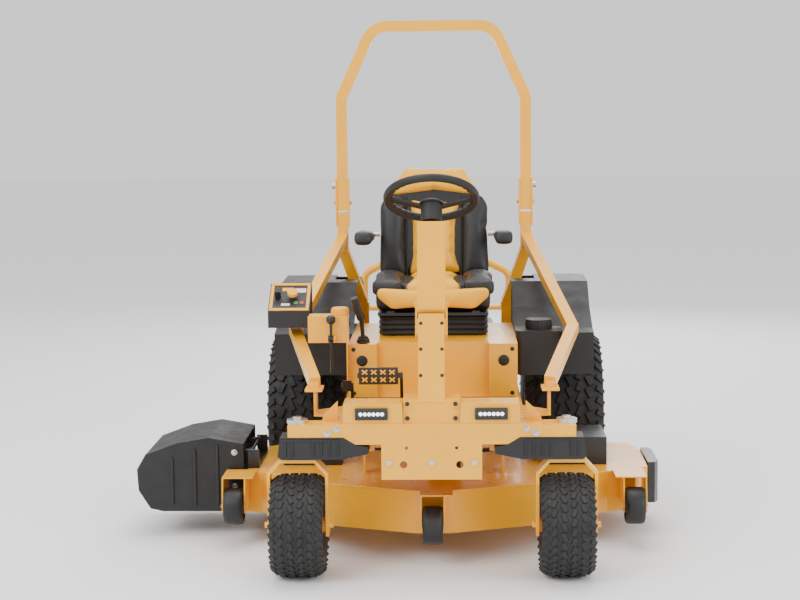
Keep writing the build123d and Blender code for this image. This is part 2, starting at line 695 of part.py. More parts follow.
def make_height_dial():
    with BuildPart() as height_dial:
        with BuildSketch(Plane.XY.offset(BRACKET_TOP + SLIP)):
            with Locations((-DIAL_X, DIAL_Y)):
                Circle(DIAL_R)
        extrude(amount=26)
        fillet(height_dial.faces().sort_by(Axis.Z)[-1].edges(), 8)
        with BuildSketch(Plane.XY.offset(BRACKET_TOP)):
            with Locations((-DIAL_X, DIAL_Y)):
                Circle(DIAL_PIN_R + RUNNING)
        extrude(amount=DIAL_PIN_H + 1, mode=Mode.SUBTRACT)
    save(height_dial, "height_dial")


def make_pedal(name, arm_x, pivot_y, plate_x0, plate_x1, plate_y, plate_low, plate_high):
    """A foot plate on an arm that turns on a cross pin just above the floor."""
    with BuildPart() as pedal:
        rod_between((arm_x - 20, pivot_y, PEDAL_Z), (arm_x + 20, pivot_y, PEDAL_Z), PEDAL_PIN_R)
        rod_between((arm_x - 7, pivot_y, PEDAL_Z), (arm_x + 7, pivot_y, PEDAL_Z), 11)
        middle = (plate_low + plate_high) / 2
        bar_between((arm_x, pivot_y, PEDAL_Z), (arm_x, plate_y + 6, middle), 10, 10)
        lean = 18
        plate = [(plate_y - lean / 2 + 8, plate_low), (plate_y - lean / 2, plate_low),
                 (plate_y + lean / 2 - 30, plate_high), (plate_y + lean / 2 - 22, plate_high)]
        panel_x(plate, plate_x0, plate_x1)
        box_between((min(arm_x, plate_x0) - 5, plate_y - 8, middle - 8),
                    (max(arm_x, plate_x1) + 5, plate_y + 10, middle + 8))
    save(pedal, name)


def pedal_lugs(arm_x, pivot_y):
    """Two lugs on the floor that carry a pedal's cross pin."""
    for side in (-1, 1):
        x = arm_x + side * 14
        box_between((x - 3, pivot_y - 10, FLOOR_TOP), (x + 3, pivot_y + 10, PEDAL_Z + 11))
    rod_between((arm_x - 25, pivot_y, PEDAL_Z), (arm_x + 25, pivot_y, PEDAL_Z),
                PEDAL_PIN_R + RUNNING, mode=Mode.SUBTRACT)


# ---- roll bar and guard ----------------------------------------------------------------------------
def tube_run(points, size, lap):
    """Square tubes joined end to end, each lapping into the next at a bend."""
    last = len(points) - 2
    for index in range(last + 1):
        start, end = Vector(*points[index]), Vector(*points[index + 1])
        along = (end - start).normalized()
        if index > 0:
            start = start - along * lap
        if index < last:
            end = end + along * lap
        bar_between(tuple(start), tuple(end), size, size)


def make_rops_leg(side, name):
    x = side * (ROPS_HALF - ROPS_TUBE / 2)
    low_x = side * LEG_FOOT_X
    foot_y = ROPS_Y + 100
    leg = [(x, ROPS_Y, ROPS_FOLD_Z - 38), (x, ROPS_Y, 960), (low_x, ROPS_Y + 62, 740), (low_x, foot_y, 540)]
    brace = [(x, ROPS_Y - 10, 1006), (side * BRACE_X, BRACE_Y, BRACE_Z), (side * FOOT_X, PLATE_Y + 220, FOOT_Z)]
    with BuildPart() as rops_leg:
        tube_run(leg, ROPS_TUBE, 11)
        tube_run(brace, BRACE_TUBE, 9)
        box_between((low_x - 22, foot_y - 25, RAIL_TOP - 10), (low_x + 22, foot_y + 25, 548))
        box_between((side * FOOT_X - 28, PLATE_Y + 160, FOOT_Z - 20), (side * FOOT_X + 28, PLATE_Y + 250,
                    FOOT_Z - 12))
        box_between((side * FOOT_X - 15, PLATE_Y + 190, FOOT_Z - 14), (side * FOOT_X + 15, PLATE_Y + 238, FOOT_Z + 6))
        for cheek in (-1, 1):
            cheek_x = x + cheek * (ROPS_TUBE / 2 + SLIP + 3)
            box_between((cheek_x - 3, ROPS_Y - 24, ROPS_FOLD_Z - 90), (cheek_x + 3, ROPS_Y + 24,
                        ROPS_FOLD_Z + 90))
            pad_x = x + cheek * (ROPS_TUBE / 2 - 1)
            box_between((min(pad_x, cheek_x), ROPS_Y - 17, ROPS_FOLD_Z - 86),
                        (max(pad_x, cheek_x), ROPS_Y + 17, ROPS_FOLD_Z - 50))
        rod_between((x - 34, ROPS_Y, ROPS_FOLD_Z), (x + 34, ROPS_Y, ROPS_FOLD_Z), FOLD_PIN_R)
    save(rops_leg, name)


def make_rops_hoop():
    x = ROPS_HALF - ROPS_TUBE / 2
    top = ROPS_TOP - ROPS_TUBE / 2
    lean = (ROPS_HALF - ROPS_SHOULDER_X) / (ROPS_SHOULDER_Z - ROPS_KNEE_Z)
    top_x = x - lean * (top - ROPS_KNEE_Z)
    low = ROPS_FOLD_Z - 30
    with BuildPart() as rops_hoop:
        with BuildLine() as path:
            FilletPolyline((-x, ROPS_Y, low), (-x, ROPS_Y, ROPS_KNEE_Z), (-top_x, ROPS_Y, top),
                           (top_x, ROPS_Y, top), (x, ROPS_Y, ROPS_KNEE_Z), (x, ROPS_Y, low), radius=85)
        with BuildSketch(Plane(origin=(-x, ROPS_Y, low), z_dir=(0, 0, 1))):
            Rectangle(ROPS_TUBE, ROPS_TUBE)
            Rectangle(ROPS_TUBE - 8, ROPS_TUBE - 8, mode=Mode.SUBTRACT)
        sweep(path=path.line)
        rod_between((-ROPS_HALF - 20, ROPS_Y, ROPS_FOLD_Z), (ROPS_HALF + 20, ROPS_Y, ROPS_FOLD_Z),
                    FOLD_PIN_R + RUNNING, mode=Mode.SUBTRACT)
    save(rops_hoop, "rops_hoop")


def make_engine_guard():
    """A hoop behind the engine, on two stubs from the rail ends, with two cross bars."""
    y = GUARD_REAR_Y - GUARD_R
    low = RAIL_TOP - RAIL_H / 2
    with BuildPart() as engine_guard:
        with BuildLine() as path:
            FilletPolyline((-GUARD_X, y, low - GUARD_R), (-GUARD_X, y, GUARD_Z - 60), (-GUARD_X + 120, y, GUARD_Z),
                           (GUARD_X - 120, y, GUARD_Z), (GUARD_X, y, GUARD_Z - 60), (GUARD_X, y, low - GUARD_R),
                           radius=50)
        with BuildSketch(Plane(origin=(-GUARD_X, y, low - GUARD_R), z_dir=(0, 0, 1))):
            Circle(GUARD_R)
        sweep(path=path.line)
        rod_between((-GUARD_X, y, low), (GUARD_X, y, low), GUARD_R - 2)
        rod_between((-GUARD_X, y, GUARD_BAR_Z), (GUARD_X, y, GUARD_BAR_Z), GUARD_R - 5)
        for side in (-1, 1):
            rod_between((side * RAIL_X, RAIL_REAR_Y, low), (side * RAIL_X, y, low), GUARD_R - 4)
    save(engine_guard, "engine_guard")


# ---- engine and drives --------------------------------------------------------------------------------
def make_engine_block():
    with BuildPart() as engine_block:
        box_between((-120, ENGINE_Y - 140, ENGINE_PLATE_TOP), (120, ENGINE_Y + 130, ENGINE_TOP))
        for side in (-1, 1):
            rod_between((side * 110, ENGINE_Y - 20, 590), (side * 215, ENGINE_Y - 60, 600), 62)
        with BuildSketch(Plane.XY.offset(ENGINE_PLATE_TOP)):
            with Locations((0, ENGINE_Y)):
                Circle(14)
        extrude(amount=-90)
        with BuildSketch(Plane.XY.offset(ENGINE_PLATE_TOP - 60)):
            with Locations((0, ENGINE_Y)):
                Circle(55)
        extrude(amount=-30)
    save(engine_block, "engine_block")


def make_engine_shroud():
    with BuildPart() as engine_shroud:
        with BuildSketch(Plane.XY.offset(ENGINE_TOP)):
            with Locations((0, ENGINE_Y)):
                Circle(185)
        extrude(amount=90)
        fillet(engine_shroud.faces().sort_by(Axis.Z)[-1].edges(), 25)
        with BuildSketch(Plane.XY.offset(ENGINE_TOP + 90)):
            with Locations((0, ENGINE_Y)):
                Circle(110)
        extrude(amount=30)
    save(engine_shroud, "engine_shroud")


def make_air_cleaner():
    with BuildPart() as air_cleaner:
        base = ENGINE_TOP + 120
        rod_between((-140, ENGINE_Y - 10, base + 62), (140, ENGINE_Y - 10, base + 62), 55)
        box_between((-60, ENGINE_Y - 40, base), (60, ENGINE_Y + 20, base + 62))
    save(air_cleaner, "air_cleaner")


def make_muffler():
    y = RAIL_REAR_Y - 90
    with BuildPart() as muffler:
        rod_between((-160, y, ENGINE_PLATE_TOP + 75), (160, y, ENGINE_PLATE_TOP + 75), 60)
        box_between((-110, y - 30, ENGINE_PLATE_TOP), (110, y + 30, ENGINE_PLATE_TOP + 60))
        rod_between((90, y, ENGINE_PLATE_TOP + 75), (90, y + 85, ENGINE_PLATE_TOP + 60), 17)
    save(muffler, "muffler")


def make_transaxles():
    with BuildPart() as transaxles:
        for side in (-1, 1):
            x0 = min(side * (RAIL_X - 20), side * TRANSAXLE_OUT)
            x1 = max(side * (RAIL_X - 20), side * TRANSAXLE_OUT)
            box_between((x0, WHEELBASE - 75, 245), (x1, WHEELBASE + 75, RAIL_TOP - RAIL_H))
            rod_between((side * TRANSAXLE_OUT, WHEELBASE, REAR_TYRE_R),
                        (side * HUB_OUT, WHEELBASE, REAR_TYRE_R), REAR_AXLE_R)
    save(transaxles, "transaxles")


# ---- covers and fasteners -------------------------------------------------------------------------------
def make_caster_covers():
    """Moulded covers under the beam ends, each open round its kingpin boss."""
    with BuildPart() as caster_covers:
        for side in (-1, 1):
            outline = [(side * 480, BEAM_END_LOW - SLIP), (side * 488, 400), (side * 476, COVER_LOW),
                       (side * 285, COVER_LOW), (side * 200, 408), (side * 200, 430), (side * 243, BEAM_LOW - SLIP),
                       (side * 281, BEAM_END_LOW - SLIP)]
            panel_y(outline, PLATE_Y - 4, BEAM_REAR + 5)
            with BuildSketch(Plane.XY.offset(COVER_LOW)):
                with Locations((side * FRONT_TRACK / 2, 0)):
                    Circle(KINGPIN_BOSS_R + SLIP)
            extrude(amount=BEAM_END_LOW - COVER_LOW, mode=Mode.SUBTRACT)
            rail_face = side * RAIL_X
            box_between((rail_face - RAIL_W / 2 - SLIP, BEAM_REAR - 6 - SLIP, RAIL_TOP - RAIL_H - 10),
                        (rail_face + RAIL_W / 2 + SLIP, BEAM_REAR + 10, RAIL_TOP), mode=Mode.SUBTRACT)
    save(caster_covers, "caster_covers")


def make_frame_hardware():
    """Dust caps, tower plugs, plate bolts and the locking pins of the roll bar."""
    with BuildPart() as frame_hardware:
        for side in (-1, 1):
            with BuildSketch(Plane.XY.offset(BEAM_TOP)):
                with Locations((side * FRONT_TRACK / 2, 0)):
                    Circle(CAP_DISC_R)
            extrude(amount=12)
            with BuildSketch(Plane.XY.offset(BEAM_TOP + 12)):
                with Locations((side * FRONT_TRACK / 2, 0)):
                    Circle(14)
            extrude(amount=8)
            rod_between((side * PLUG_X, SEAT_BOX_Y + 3, PLUG_Z), (side * PLUG_X, SEAT_BOX_Y - 3, PLUG_Z),
                        PLUG_R - RUNNING)
        for x in (-135, 0, 135):
            rod_between((x, PLATE_Y, PLATE_HOLE_Z + 7), (x, PLATE_Y - 6, PLATE_HOLE_Z + 7), 9)
        for side in (-1, 1):
            start = side * (ROPS_HALF + SLIP + 6)
            rod_between((start, ROPS_Y, ROPS_FOLD_Z + 63), (start + side * 14, ROPS_Y, ROPS_FOLD_Z + 63), 11)
            rod_between((start + side * 10, ROPS_Y, ROPS_FOLD_Z + 63),
                        (start + side * 30, ROPS_Y, ROPS_FOLD_Z + 110), 3)
    save(frame_hardware, "frame_hardware")


# ---- front casters ------------------------------------------------------------------------------------------
def make_caster_fork(side, name):
    x = side * FRONT_TRACK / 2
    with BuildPart() as caster_fork:
        outline = [(x - FORK_HALF, FORK_LOW), (x - FORK_HALF, FORK_TOP - 44), (x - 58, FORK_TOP),
                   (x + 58, FORK_TOP), (x + FORK_HALF, FORK_TOP - 44), (x + FORK_HALF, FORK_LOW)]
        panel_y(outline, -FORK_D / 2, FORK_D / 2)
        inner = FORK_HALF - FORK_BAR
        hollow = [(x - inner, FORK_LOW - 1), (x - inner, FORK_TOP - 48), (x - 54, FORK_TOP - FORK_BAR),
                  (x + 54, FORK_TOP - FORK_BAR), (x + inner, FORK_TOP - 48), (x + inner, FORK_LOW - 1)]
        panel_y(hollow, -FORK_D / 2 - 1, FORK_D / 2 + 1, mode=Mode.SUBTRACT)
        with BuildSketch(Plane.XY.offset(FORK_TOP - FORK_BAR)):
            with Locations((x, 0)):
                Circle(KINGPIN_R)
        extrude(amount=BEAM_TOP - 2 - FORK_TOP + FORK_BAR)
        rod_between((x - FORK_HALF - 12, 0, FRONT_TYRE_R), (x + FORK_HALF + 12, 0, FRONT_TYRE_R), AXLE_R)
    save(caster_fork, name)


def tyre_outline(half, bead_r, outer_r, shoulder):
    """Tyre section from bead to tread and back, as (offset, radius) points."""
    side = [(half - shoulder * 0.6, bead_r), (half, bead_r + shoulder * 1.2), (half, outer_r - shoulder),
            (half - shoulder * 0.3, outer_r - shoulder * 0.35), (half - shoulder, outer_r - 2),
            (half * 0.4, outer_r)]
    return [(-x, r) for x, r in side] + side[::-1]


def air_outline(half, bead_r, outer_r, shoulder):
    """The air space inside a tyre, running out past its beads."""
    side = [(half - shoulder, bead_r - 1), (half, bead_r + shoulder), (half, outer_r - shoulder),
            (half - shoulder, outer_r)]
    return [(-x, r) for x, r in side] + side[::-1]


def make_tyre(x, y, outer_r, bead_r, width, wall, name):
    with BuildPart() as tyre:
        wheel_profile(x, y, outer_r, tyre_outline(width / 2, bead_r + SLIP, outer_r, 22))
        wheel_profile(x, y, outer_r, air_outline(width / 2 - wall, bead_r + SLIP, outer_r - wall, 16),
                      mode=Mode.SUBTRACT)
    save(tyre, name)


def make_rim(x, y, z, rim_r, width, bore_r, hub_r, hub_half, name):
    """A barrel with a web and a bored hub."""
    with BuildPart() as rim:
        half = width / 2 - 14
        wheel_profile(x, y, z, [(-half, rim_r - 6), (-half, rim_r), (half, rim_r), (half, rim_r - 6)])
        wheel_profile(x, y, z, [(-6, bore_r + RUNNING), (-6, rim_r - 3), (6, rim_r - 3), (6, bore_r + RUNNING)])
        wheel_profile(x, y, z, [(-hub_half, bore_r + RUNNING), (-hub_half, hub_r), (hub_half, hub_r),
                                (hub_half, bore_r + RUNNING)])
    save(rim, name)


# ---- cutting deck ---------------------------------------------------------------------------------------------
def deck_outline():
    return [(-60, 168), (60, 168), (350, 275), (600, 460), (700, 492), (DECK_RIGHT - 4, 545), (DECK_RIGHT, 820), (715, DECK_REAR),
            (-560, DECK_REAR), (DECK_LEFT, 880), (DECK_LEFT, 470), (-600, 460), (-350, 275)]


SPINDLES = [("right", DECK_OFFSET - SPINDLE_PITCH, OUTER_SPINDLE_Y), ("centre", DECK_OFFSET, CENTRE_SPINDLE_Y),
            ("left", DECK_OFFSET + SPINDLE_PITCH, OUTER_SPINDLE_Y)]
GAUGES = [("right", -GAUGE_X, GAUGE_Y), ("centre", 0.0, GAUGE_CENTRE_Y), ("left", GAUGE_X, GAUGE_Y)]
GAUGE_Z = GAUGE_R + DECK_DROP + 2


def make_deck_shell():
    with BuildPart() as deck_shell:
        panel_z(deck_outline(), DECK_LOW, DECK_TOP)
        with BuildSketch(Plane.XY.offset(DECK_LOW)):
            with BuildLine():
                Polyline(*deck_outline(), close=True)
            make_face()
            offset(amount=-DECK_WALL, kind=Kind.INTERSECTION, mode=Mode.REPLACE)
        extrude(amount=DECK_TOP - DECK_LOW - DECK_WALL, mode=Mode.SUBTRACT)
        box_between((DECK_LEFT - 5, CHUTE_FRONT + 20, DECK_LOW - 1), (DECK_LEFT + 12, CHUTE_REAR - 20, DECK_TOP - 12),
                    mode=Mode.SUBTRACT)
        for _, x, y in SPINDLES:
            with BuildSketch(Plane.XY.offset(DECK_TOP)):
                with Locations((x, y)):
                    Circle(SPINDLE_HOUSING_R)
            extrude(amount=-DECK_WALL, mode=Mode.SUBTRACT)
        for _, x, y in GAUGES:
            gauge_bracket(x, y)
        for side in (-1, 1):
            for y in (450, 860):
                x0 = side * (RAIL_X + RAIL_W / 2 + 0.5)
                x1 = x0 + side * 8
                box_between((min(x0, x1), y - 15, DECK_TOP), (max(x0, x1), y + 15, RAIL_TOP - 20))
    save(deck_shell, "deck_shell")


def gauge_bracket(x, y):
    """Two arms and a bridge that carry one gauge wheel on a cross bolt."""
    arm_x = GAUGE_W / 2 + 5
    reach = y + GAUGE_R + 60
    for side in (-1, 1):
        x0 = x + side * arm_x - 2.5
        arm = [(y - 22, GAUGE_Z - 20), (y + 22, GAUGE_Z - 20), (reach, GAUGE_Z), (reach, DECK_TOP + 4),
               (y - 10, DECK_TOP + 4), (y - 22, GAUGE_Z + 40)]
        panel_x(arm, x0, x0 + 5)
    bridge_in = 25 if x > 0 else -25
    low = min(x - arm_x - 2.5, x - arm_x - 2.5 - bridge_in)
    high = max(x + arm_x + 2.5, x + arm_x + 2.5 - bridge_in)
    box_between((low, y - 10, DECK_TOP), (high, reach, DECK_TOP + 4))
    rod_between((x - arm_x - 8, y, GAUGE_Z), (x + arm_x + 8, y, GAUGE_Z), GAUGE_AXLE_R)


def make_gauge_wheel(x, y, name):
    with BuildPart() as gauge_wheel:
        half = GAUGE_W / 2
        wheel_profile(x, y, GAUGE_Z, [(-half, GAUGE_AXLE_R + RUNNING), (-half, GAUGE_R - 14), (-half + 8, GAUGE_R - 3),
                                      (-half + 18, GAUGE_R), (half - 18, GAUGE_R), (half - 8, GAUGE_R - 3),
                                      (half, GAUGE_R - 14), (half, GAUGE_AXLE_R + RUNNING)])
    save(gauge_wheel, name)


def make_spindle_housings():
    with BuildPart() as spindle_housings:
        for _, x, y in SPINDLES:
            with BuildSketch(Plane.XY.offset(DECK_TOP - 50)):
                with Locations((x, y)):
                    Circle(SPINDLE_HOUSING_R - SLIP)
            extrude(amount=50)
            with BuildSketch(Plane.XY.offset(DECK_TOP)):
                with Locations((x, y)):
                    Circle(SPINDLE_HOUSING_R + 14)
            extrude(amount=HOUSING_TOP - DECK_TOP)
            with BuildSketch(Plane.XY.offset(DECK_TOP - 60)):
                with Locations((x, y)):
                    Circle(SPINDLE_R + RUNNING)
            extrude(amount=150, mode=Mode.SUBTRACT)
    save(spindle_housings, "spindle_housings")


def make_spindle(x, y, turn, name):
    with BuildPart() as spindle:
        with BuildSketch(Plane.XY.offset(BLADE_Z - 6)):
            with Locations((x, y)):
                Circle(SPINDLE_R)
        extrude(amount=BELT_Z + 16 - BLADE_Z + 6)
        with BuildSketch(Plane.XY.offset(BELT_Z - 8)):
            with Locations((x, y)):
                Circle(PULLEY_R)
        extrude(amount=22)
        with BuildSketch(Plane(origin=(x, y, BLADE_Z), x_dir=(cos(radians(turn)), sin(radians(turn)), 0),
                               z_dir=(0, 0, 1))):
            RectangleRounded(2 * BLADE_R * 0.99, 60, 8)
        extrude(amount=6)
    save(spindle, name)


def make_deck_belt():
    with BuildPart() as deck_belt:
        with BuildSketch(Plane.XY.offset(BELT_Z - 3)):
            belt_hull(PULLEY_R + SLIP + BELT_T)
            belt_hull(PULLEY_R + SLIP, mode=Mode.SUBTRACT)
        extrude(amount=12)
    save(deck_belt, "deck_belt")


def belt_hull(radius, mode=Mode.ADD):
    """The belt's loop round all three pulleys, filled."""
    rings = []
    for _, x, y in SPINDLES:
        rings.append(Edge.make_circle(radius, Plane(origin=(x, y, 0))))
    add(make_hull(rings, mode=Mode.PRIVATE), mode=mode)


def make_belt_covers():
    """Two hollow covers over the outer pulleys, open below and towards the belt."""
    wall = 3.0
    with BuildPart() as belt_covers:
        for side in (-1, 1):
            x_in = DECK_OFFSET + side * (SPINDLE_PITCH - 87)
            x_out = DECK_OFFSET + side * (SPINDLE_PITCH + 121)
            x0, x1 = min(x_in, x_out), max(x_in, x_out)
            box_between((x0, COVER_FRONT, DECK_TOP), (x1, COVER_REAR, COVER_TOP))
            box_between((x0 + wall, COVER_FRONT + wall, DECK_TOP), (x1 - wall, COVER_REAR - wall,
                        COVER_TOP - wall), mode=Mode.SUBTRACT)
            box_between((x_in - 5, COVER_FRONT + wall, BELT_Z - 20), (x_in + 5, COVER_REAR - wall, BELT_Z + 24),
                        mode=Mode.SUBTRACT)
    save(belt_covers, "belt_covers")


def make_deck_fittings():
    """The chute's hinge bar with its brackets, and the bumper on the deck's other side."""
    with BuildPart() as deck_fittings:
        for y in (HINGE_FRONT, HINGE_REAR):
            box_between((HINGE_X - 9, y - 6, DECK_TOP), (HINGE_X + 30, y + 6, HINGE_Z + 12))
        box_between((HINGE_X + 10, HINGE_FRONT, DECK_TOP), (HINGE_X + 30, HINGE_REAR, DECK_TOP + 8))
        rod_between((HINGE_X, HINGE_FRONT - 10, HINGE_Z), (HINGE_X, HINGE_REAR + 10, HINGE_Z), HINGE_PIN_R)
        bumper_in = DECK_RIGHT + SLIP
        outline = [(bumper_in, 560), (BUMPER_REACH - 14, 560), (BUMPER_REACH, 590), (BUMPER_REACH, 790),
                   (BUMPER_REACH - 14, 815), (bumper_in, 815)]
        panel_z(outline, DECK_LOW + 8, DECK_TOP + 10)
    save(deck_fittings, "deck_fittings")


def chute_outline(inset):
    """The chute's section across the mower, drawn inset by the given wall."""
    reach = CHUTE_REACH - inset
    return [(CHUTE_IN, CHUTE_TOP - 22 - inset), (-790, CHUTE_TOP - inset), (-900, CHUTE_TOP - 18 - inset),
            (-reach + 30, 292 - inset), (-reach, 240), (-reach + 4, 165), (-reach + 45, 100 + inset),
            (-reach + 90, 90 + inset), (CHUTE_IN, 90 + inset)]


def make_chute():
    wall = 6.0
    with BuildPart() as chute:
        panel_y(chute_outline(0), CHUTE_FRONT, CHUTE_REAR)
        panel_y(chute_outline(wall), CHUTE_FRONT + wall, CHUTE_REAR - wall, mode=Mode.SUBTRACT)
        box_between((-CHUTE_REACH + 60, CHUTE_FRONT + wall, 80), (CHUTE_IN + 5, CHUTE_REAR - wall, 100),
                    mode=Mode.SUBTRACT)
        box_between((CHUTE_IN - 22, CHUTE_FRONT + wall, HINGE_Z - 12), (CHUTE_IN - 14, CHUTE_REAR - wall,
                    CHUTE_TOP - 28))
        for y in (HINGE_FRONT + 30, HINGE_REAR - 30):
            rod_between((HINGE_X, y - 18, HINGE_Z), (HINGE_X, y + 18, HINGE_Z), HINGE_PIN_R + 5)
            box_between((CHUTE_IN - 16, y - 18, HINGE_Z - 6), (HINGE_X, y + 18, HINGE_Z + 6))
            rod_between((HINGE_X, y - 30, HINGE_Z), (HINGE_X, y + 30, HINGE_Z), HINGE_PIN_R + RUNNING,
                        mode=Mode.SUBTRACT)
    save(chute, "chute")


# ---- seat --------------------------------------------------------------------------------------------------------
def make_seat_suspension():
    with BuildPart() as seat_suspension:
        box_between((-195, 600, SEAT_BASE_Z), (195, 930, SEAT_PAN_Z - SLIP))
    save(seat_suspension, "seat_suspension")


def make_seat_pan():
    with BuildPart() as seat_pan:
        box_between((-195, 590, SEAT_PAN_Z), (195, 940, SEAT_PAN_Z + 10))
        for side in (-1, 1):
            x = side * 150
            box_between((x - 14, 590, SEAT_PAN_Z + 10), (x + 14, 940, SEAT_PAN_Z + 16))
    save(seat_pan, "seat_pan")


def make_seat_cushion():
    with BuildPart() as seat_cushion:
        outline = [(CUSHION_FRONT + 30, CUSHION_LOW), (CUSHION_REAR, CUSHION_LOW), (CUSHION_REAR, CUSHION_TOP - 20),
                   (CUSHION_FRONT + 60, CUSHION_TOP), (CUSHION_FRONT, CUSHION_TOP - 30), (CUSHION_FRONT, CUSHION_LOW + 25)]
        panel_x(outline, -CUSHION_HALF, CUSHION_HALF)
        for side in (-1, 1):
            x = side * (CUSHION_HALF - 12)
            box_between((min(x, x + side * 8), 930, CUSHION_LOW - 6), (max(x, x + side * 8), BACK_PIVOT_Y + 14,
                        CUSHION_LOW))
            box_between((min(x, x + side * 8), CUSHION_REAR, CUSHION_LOW - 6), (max(x, x + side * 8),
                        BACK_PIVOT_Y + 14, BACK_PIVOT_Z + 14))
        rod_between((-CUSHION_HALF + 2, BACK_PIVOT_Y, BACK_PIVOT_Z), (CUSHION_HALF - 2, BACK_PIVOT_Y, BACK_PIVOT_Z),
                    BACK_PIN_R)
    save(seat_cushion, "seat_cushion")


def make_seat_backrest():
    height = (BACK_TOP - BACK_PIVOT_Z) / cos(radians(BACK_LEAN))
    with BuildPart() as seat_backrest:
        lower, upper = BACK_HALF - 6, BACK_HALF - 50
        face = Plane(origin=(0, BACK_PIVOT_Y, BACK_PIVOT_Z), x_dir=(1, 0, 0),
                     z_dir=(0, -cos(radians(BACK_LEAN)), sin(radians(BACK_LEAN))))
        with BuildSketch(face.offset(-BACK_T / 2)):
            with BuildLine():
                Polyline((-lower, -12), (lower, -12), (lower, 300), (upper, height - 60), (upper - 50, height),
                         (-upper + 50, height), (-upper, height - 60), (-lower, 300), close=True)
            make_face()
        extrude(amount=BACK_T)
        rod_between((-BACK_HALF - 30, BACK_PIVOT_Y, BACK_PIVOT_Z), (BACK_HALF + 30, BACK_PIVOT_Y, BACK_PIVOT_Z),
                    BACK_PIN_R + RUNNING, mode=Mode.SUBTRACT)
        for side in (-1, 1):
            start = side * (lower - 5)
            rod_between((start, ARM_Y, ARM_Z), (side * (ARM_OUT - 10), ARM_Y, ARM_Z), ARM_PIN_R)
    save(seat_backrest, "seat_backrest")


def make_armrest(side, name):
    with BuildPart() as armrest:
        x0 = min(side * ARM_IN, side * ARM_OUT)
        x1 = max(side * ARM_IN, side * ARM_OUT)
        outline = [(ARM_FRONT, ARM_Z - 22), (ARM_Y + 20, ARM_Z - 30), (ARM_Y + 24, ARM_Z + 14),
                   (ARM_FRONT + 20, ARM_Z + 32), (ARM_FRONT, ARM_Z + 20)]
        panel_x(outline, x0, x1)
        fillet(armrest.edges().filter_by(Axis.X), 8)
        rod_between((x0 - 5, ARM_Y, ARM_Z), (x1 + 5, ARM_Y, ARM_Z), ARM_PIN_R + RUNNING, mode=Mode.SUBTRACT)
    save(armrest, name)


def main():
    make_main_frame()
    make_front_beam()
    make_foot_platform()
    make_headlights()
    make_seat_box()
    make_column_base()
    make_steering_column()
    make_steering_wheel()
    make_fender(-1, "fender_right")
    make_fender(1, "fender_left")
    make_fuel_tank()
    make_fuel_cap()
    make_control_bracket()
    make_control_box()
    make_pto_knob()
    make_ignition_key()
    make_brake_lever()
    make_lift_lever()
    make_height_dial()
    make_pedal("forward_pedal", FWD_ARM_X, FWD_PIVOT_Y, -235, -108, 100, 607, 664)
    make_pedal("reverse_pedal", REV_ARM_X, REV_PIVOT_Y, -292, -262, 160, 575, 612)
    make_rops_hoop()
    make_engine_guard()
    make_engine_block()
    make_engine_shroud()
    make_air_cleaner()
    make_muffler()
    make_transaxles()
    make_caster_covers()
    make_frame_hardware()
    for side, hand in ((-1, "right"), (1, "left")):
        x = side * FRONT_TRACK / 2
        rear_x = side * (REAR_WIDTH - REAR_TYRE_W) / 2
        make_rops_leg(side, f"rops_leg_{hand}")
        make_caster_fork(side, f"caster_fork_{hand}")
        make_tyre(x, 0, FRONT_TYRE_R, FRONT_RIM_R, FRONT_TYRE_W, 8, f"front_tyre_{hand}")
        make_rim(x, 0, FRONT_TYRE_R, FRONT_RIM_R, FRONT_TYRE_W, AXLE_R, 24, FRONT_TYRE_W / 2 + 3.5, f"front_rim_{hand}")
        make_tyre(rear_x, WHEELBASE, REAR_TYRE_R, REAR_RIM_R, REAR_TYRE_W, 11, f"rear_tyre_{hand}")
        make_rim(rear_x, WHEELBASE, REAR_TYRE_R, REAR_RIM_R, REAR_TYRE_W, REAR_AXLE_R, 45, 60, f"rear_rim_{hand}")
        make_armrest(side, f"armrest_{hand}")
    make_deck_shell()
    make_spindle_housings()
    make_belt_covers()
    make_deck_belt()
    make_deck_fittings()
    make_chute()
    for turn, (hand, x, y) in zip((20, 65, 100), SPINDLES):
        make_spindle(x, y, turn, f"spindle_{hand}")
    for hand, x, y in GAUGES:
        make_gauge_wheel(x, y, f"gauge_wheel_{hand}")
    make_seat_suspension()
    make_seat_pan()
    make_seat_cushion()
    make_seat_backrest()


main()
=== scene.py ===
"""Visual model of a riding lawn mower: finishes, soft goods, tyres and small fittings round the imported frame."""

import json
import logging
import math
from collections.abc import Callable, Iterable, Sequence
from dataclasses import dataclass
from enum import Enum

import bmesh
import bpy
from mathutils import Matrix, Vector


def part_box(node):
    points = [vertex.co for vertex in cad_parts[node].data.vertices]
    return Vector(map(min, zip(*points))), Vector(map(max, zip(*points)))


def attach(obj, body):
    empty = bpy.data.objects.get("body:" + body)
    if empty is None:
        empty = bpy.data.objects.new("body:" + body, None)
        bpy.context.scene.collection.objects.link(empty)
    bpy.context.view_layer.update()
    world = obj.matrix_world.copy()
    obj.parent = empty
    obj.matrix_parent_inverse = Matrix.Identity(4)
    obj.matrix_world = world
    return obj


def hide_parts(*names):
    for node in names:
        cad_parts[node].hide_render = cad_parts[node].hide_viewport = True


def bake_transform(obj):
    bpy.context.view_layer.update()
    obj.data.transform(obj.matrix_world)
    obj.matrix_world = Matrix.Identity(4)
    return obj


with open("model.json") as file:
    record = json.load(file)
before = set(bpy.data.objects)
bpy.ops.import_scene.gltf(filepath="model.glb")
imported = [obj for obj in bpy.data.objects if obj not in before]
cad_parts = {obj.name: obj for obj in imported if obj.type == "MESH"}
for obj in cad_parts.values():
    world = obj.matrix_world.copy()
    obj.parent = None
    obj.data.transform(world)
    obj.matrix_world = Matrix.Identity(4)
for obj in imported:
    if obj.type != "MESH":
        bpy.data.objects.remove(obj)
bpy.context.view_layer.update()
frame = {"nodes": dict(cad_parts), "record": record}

log = logging.getLogger("mower")

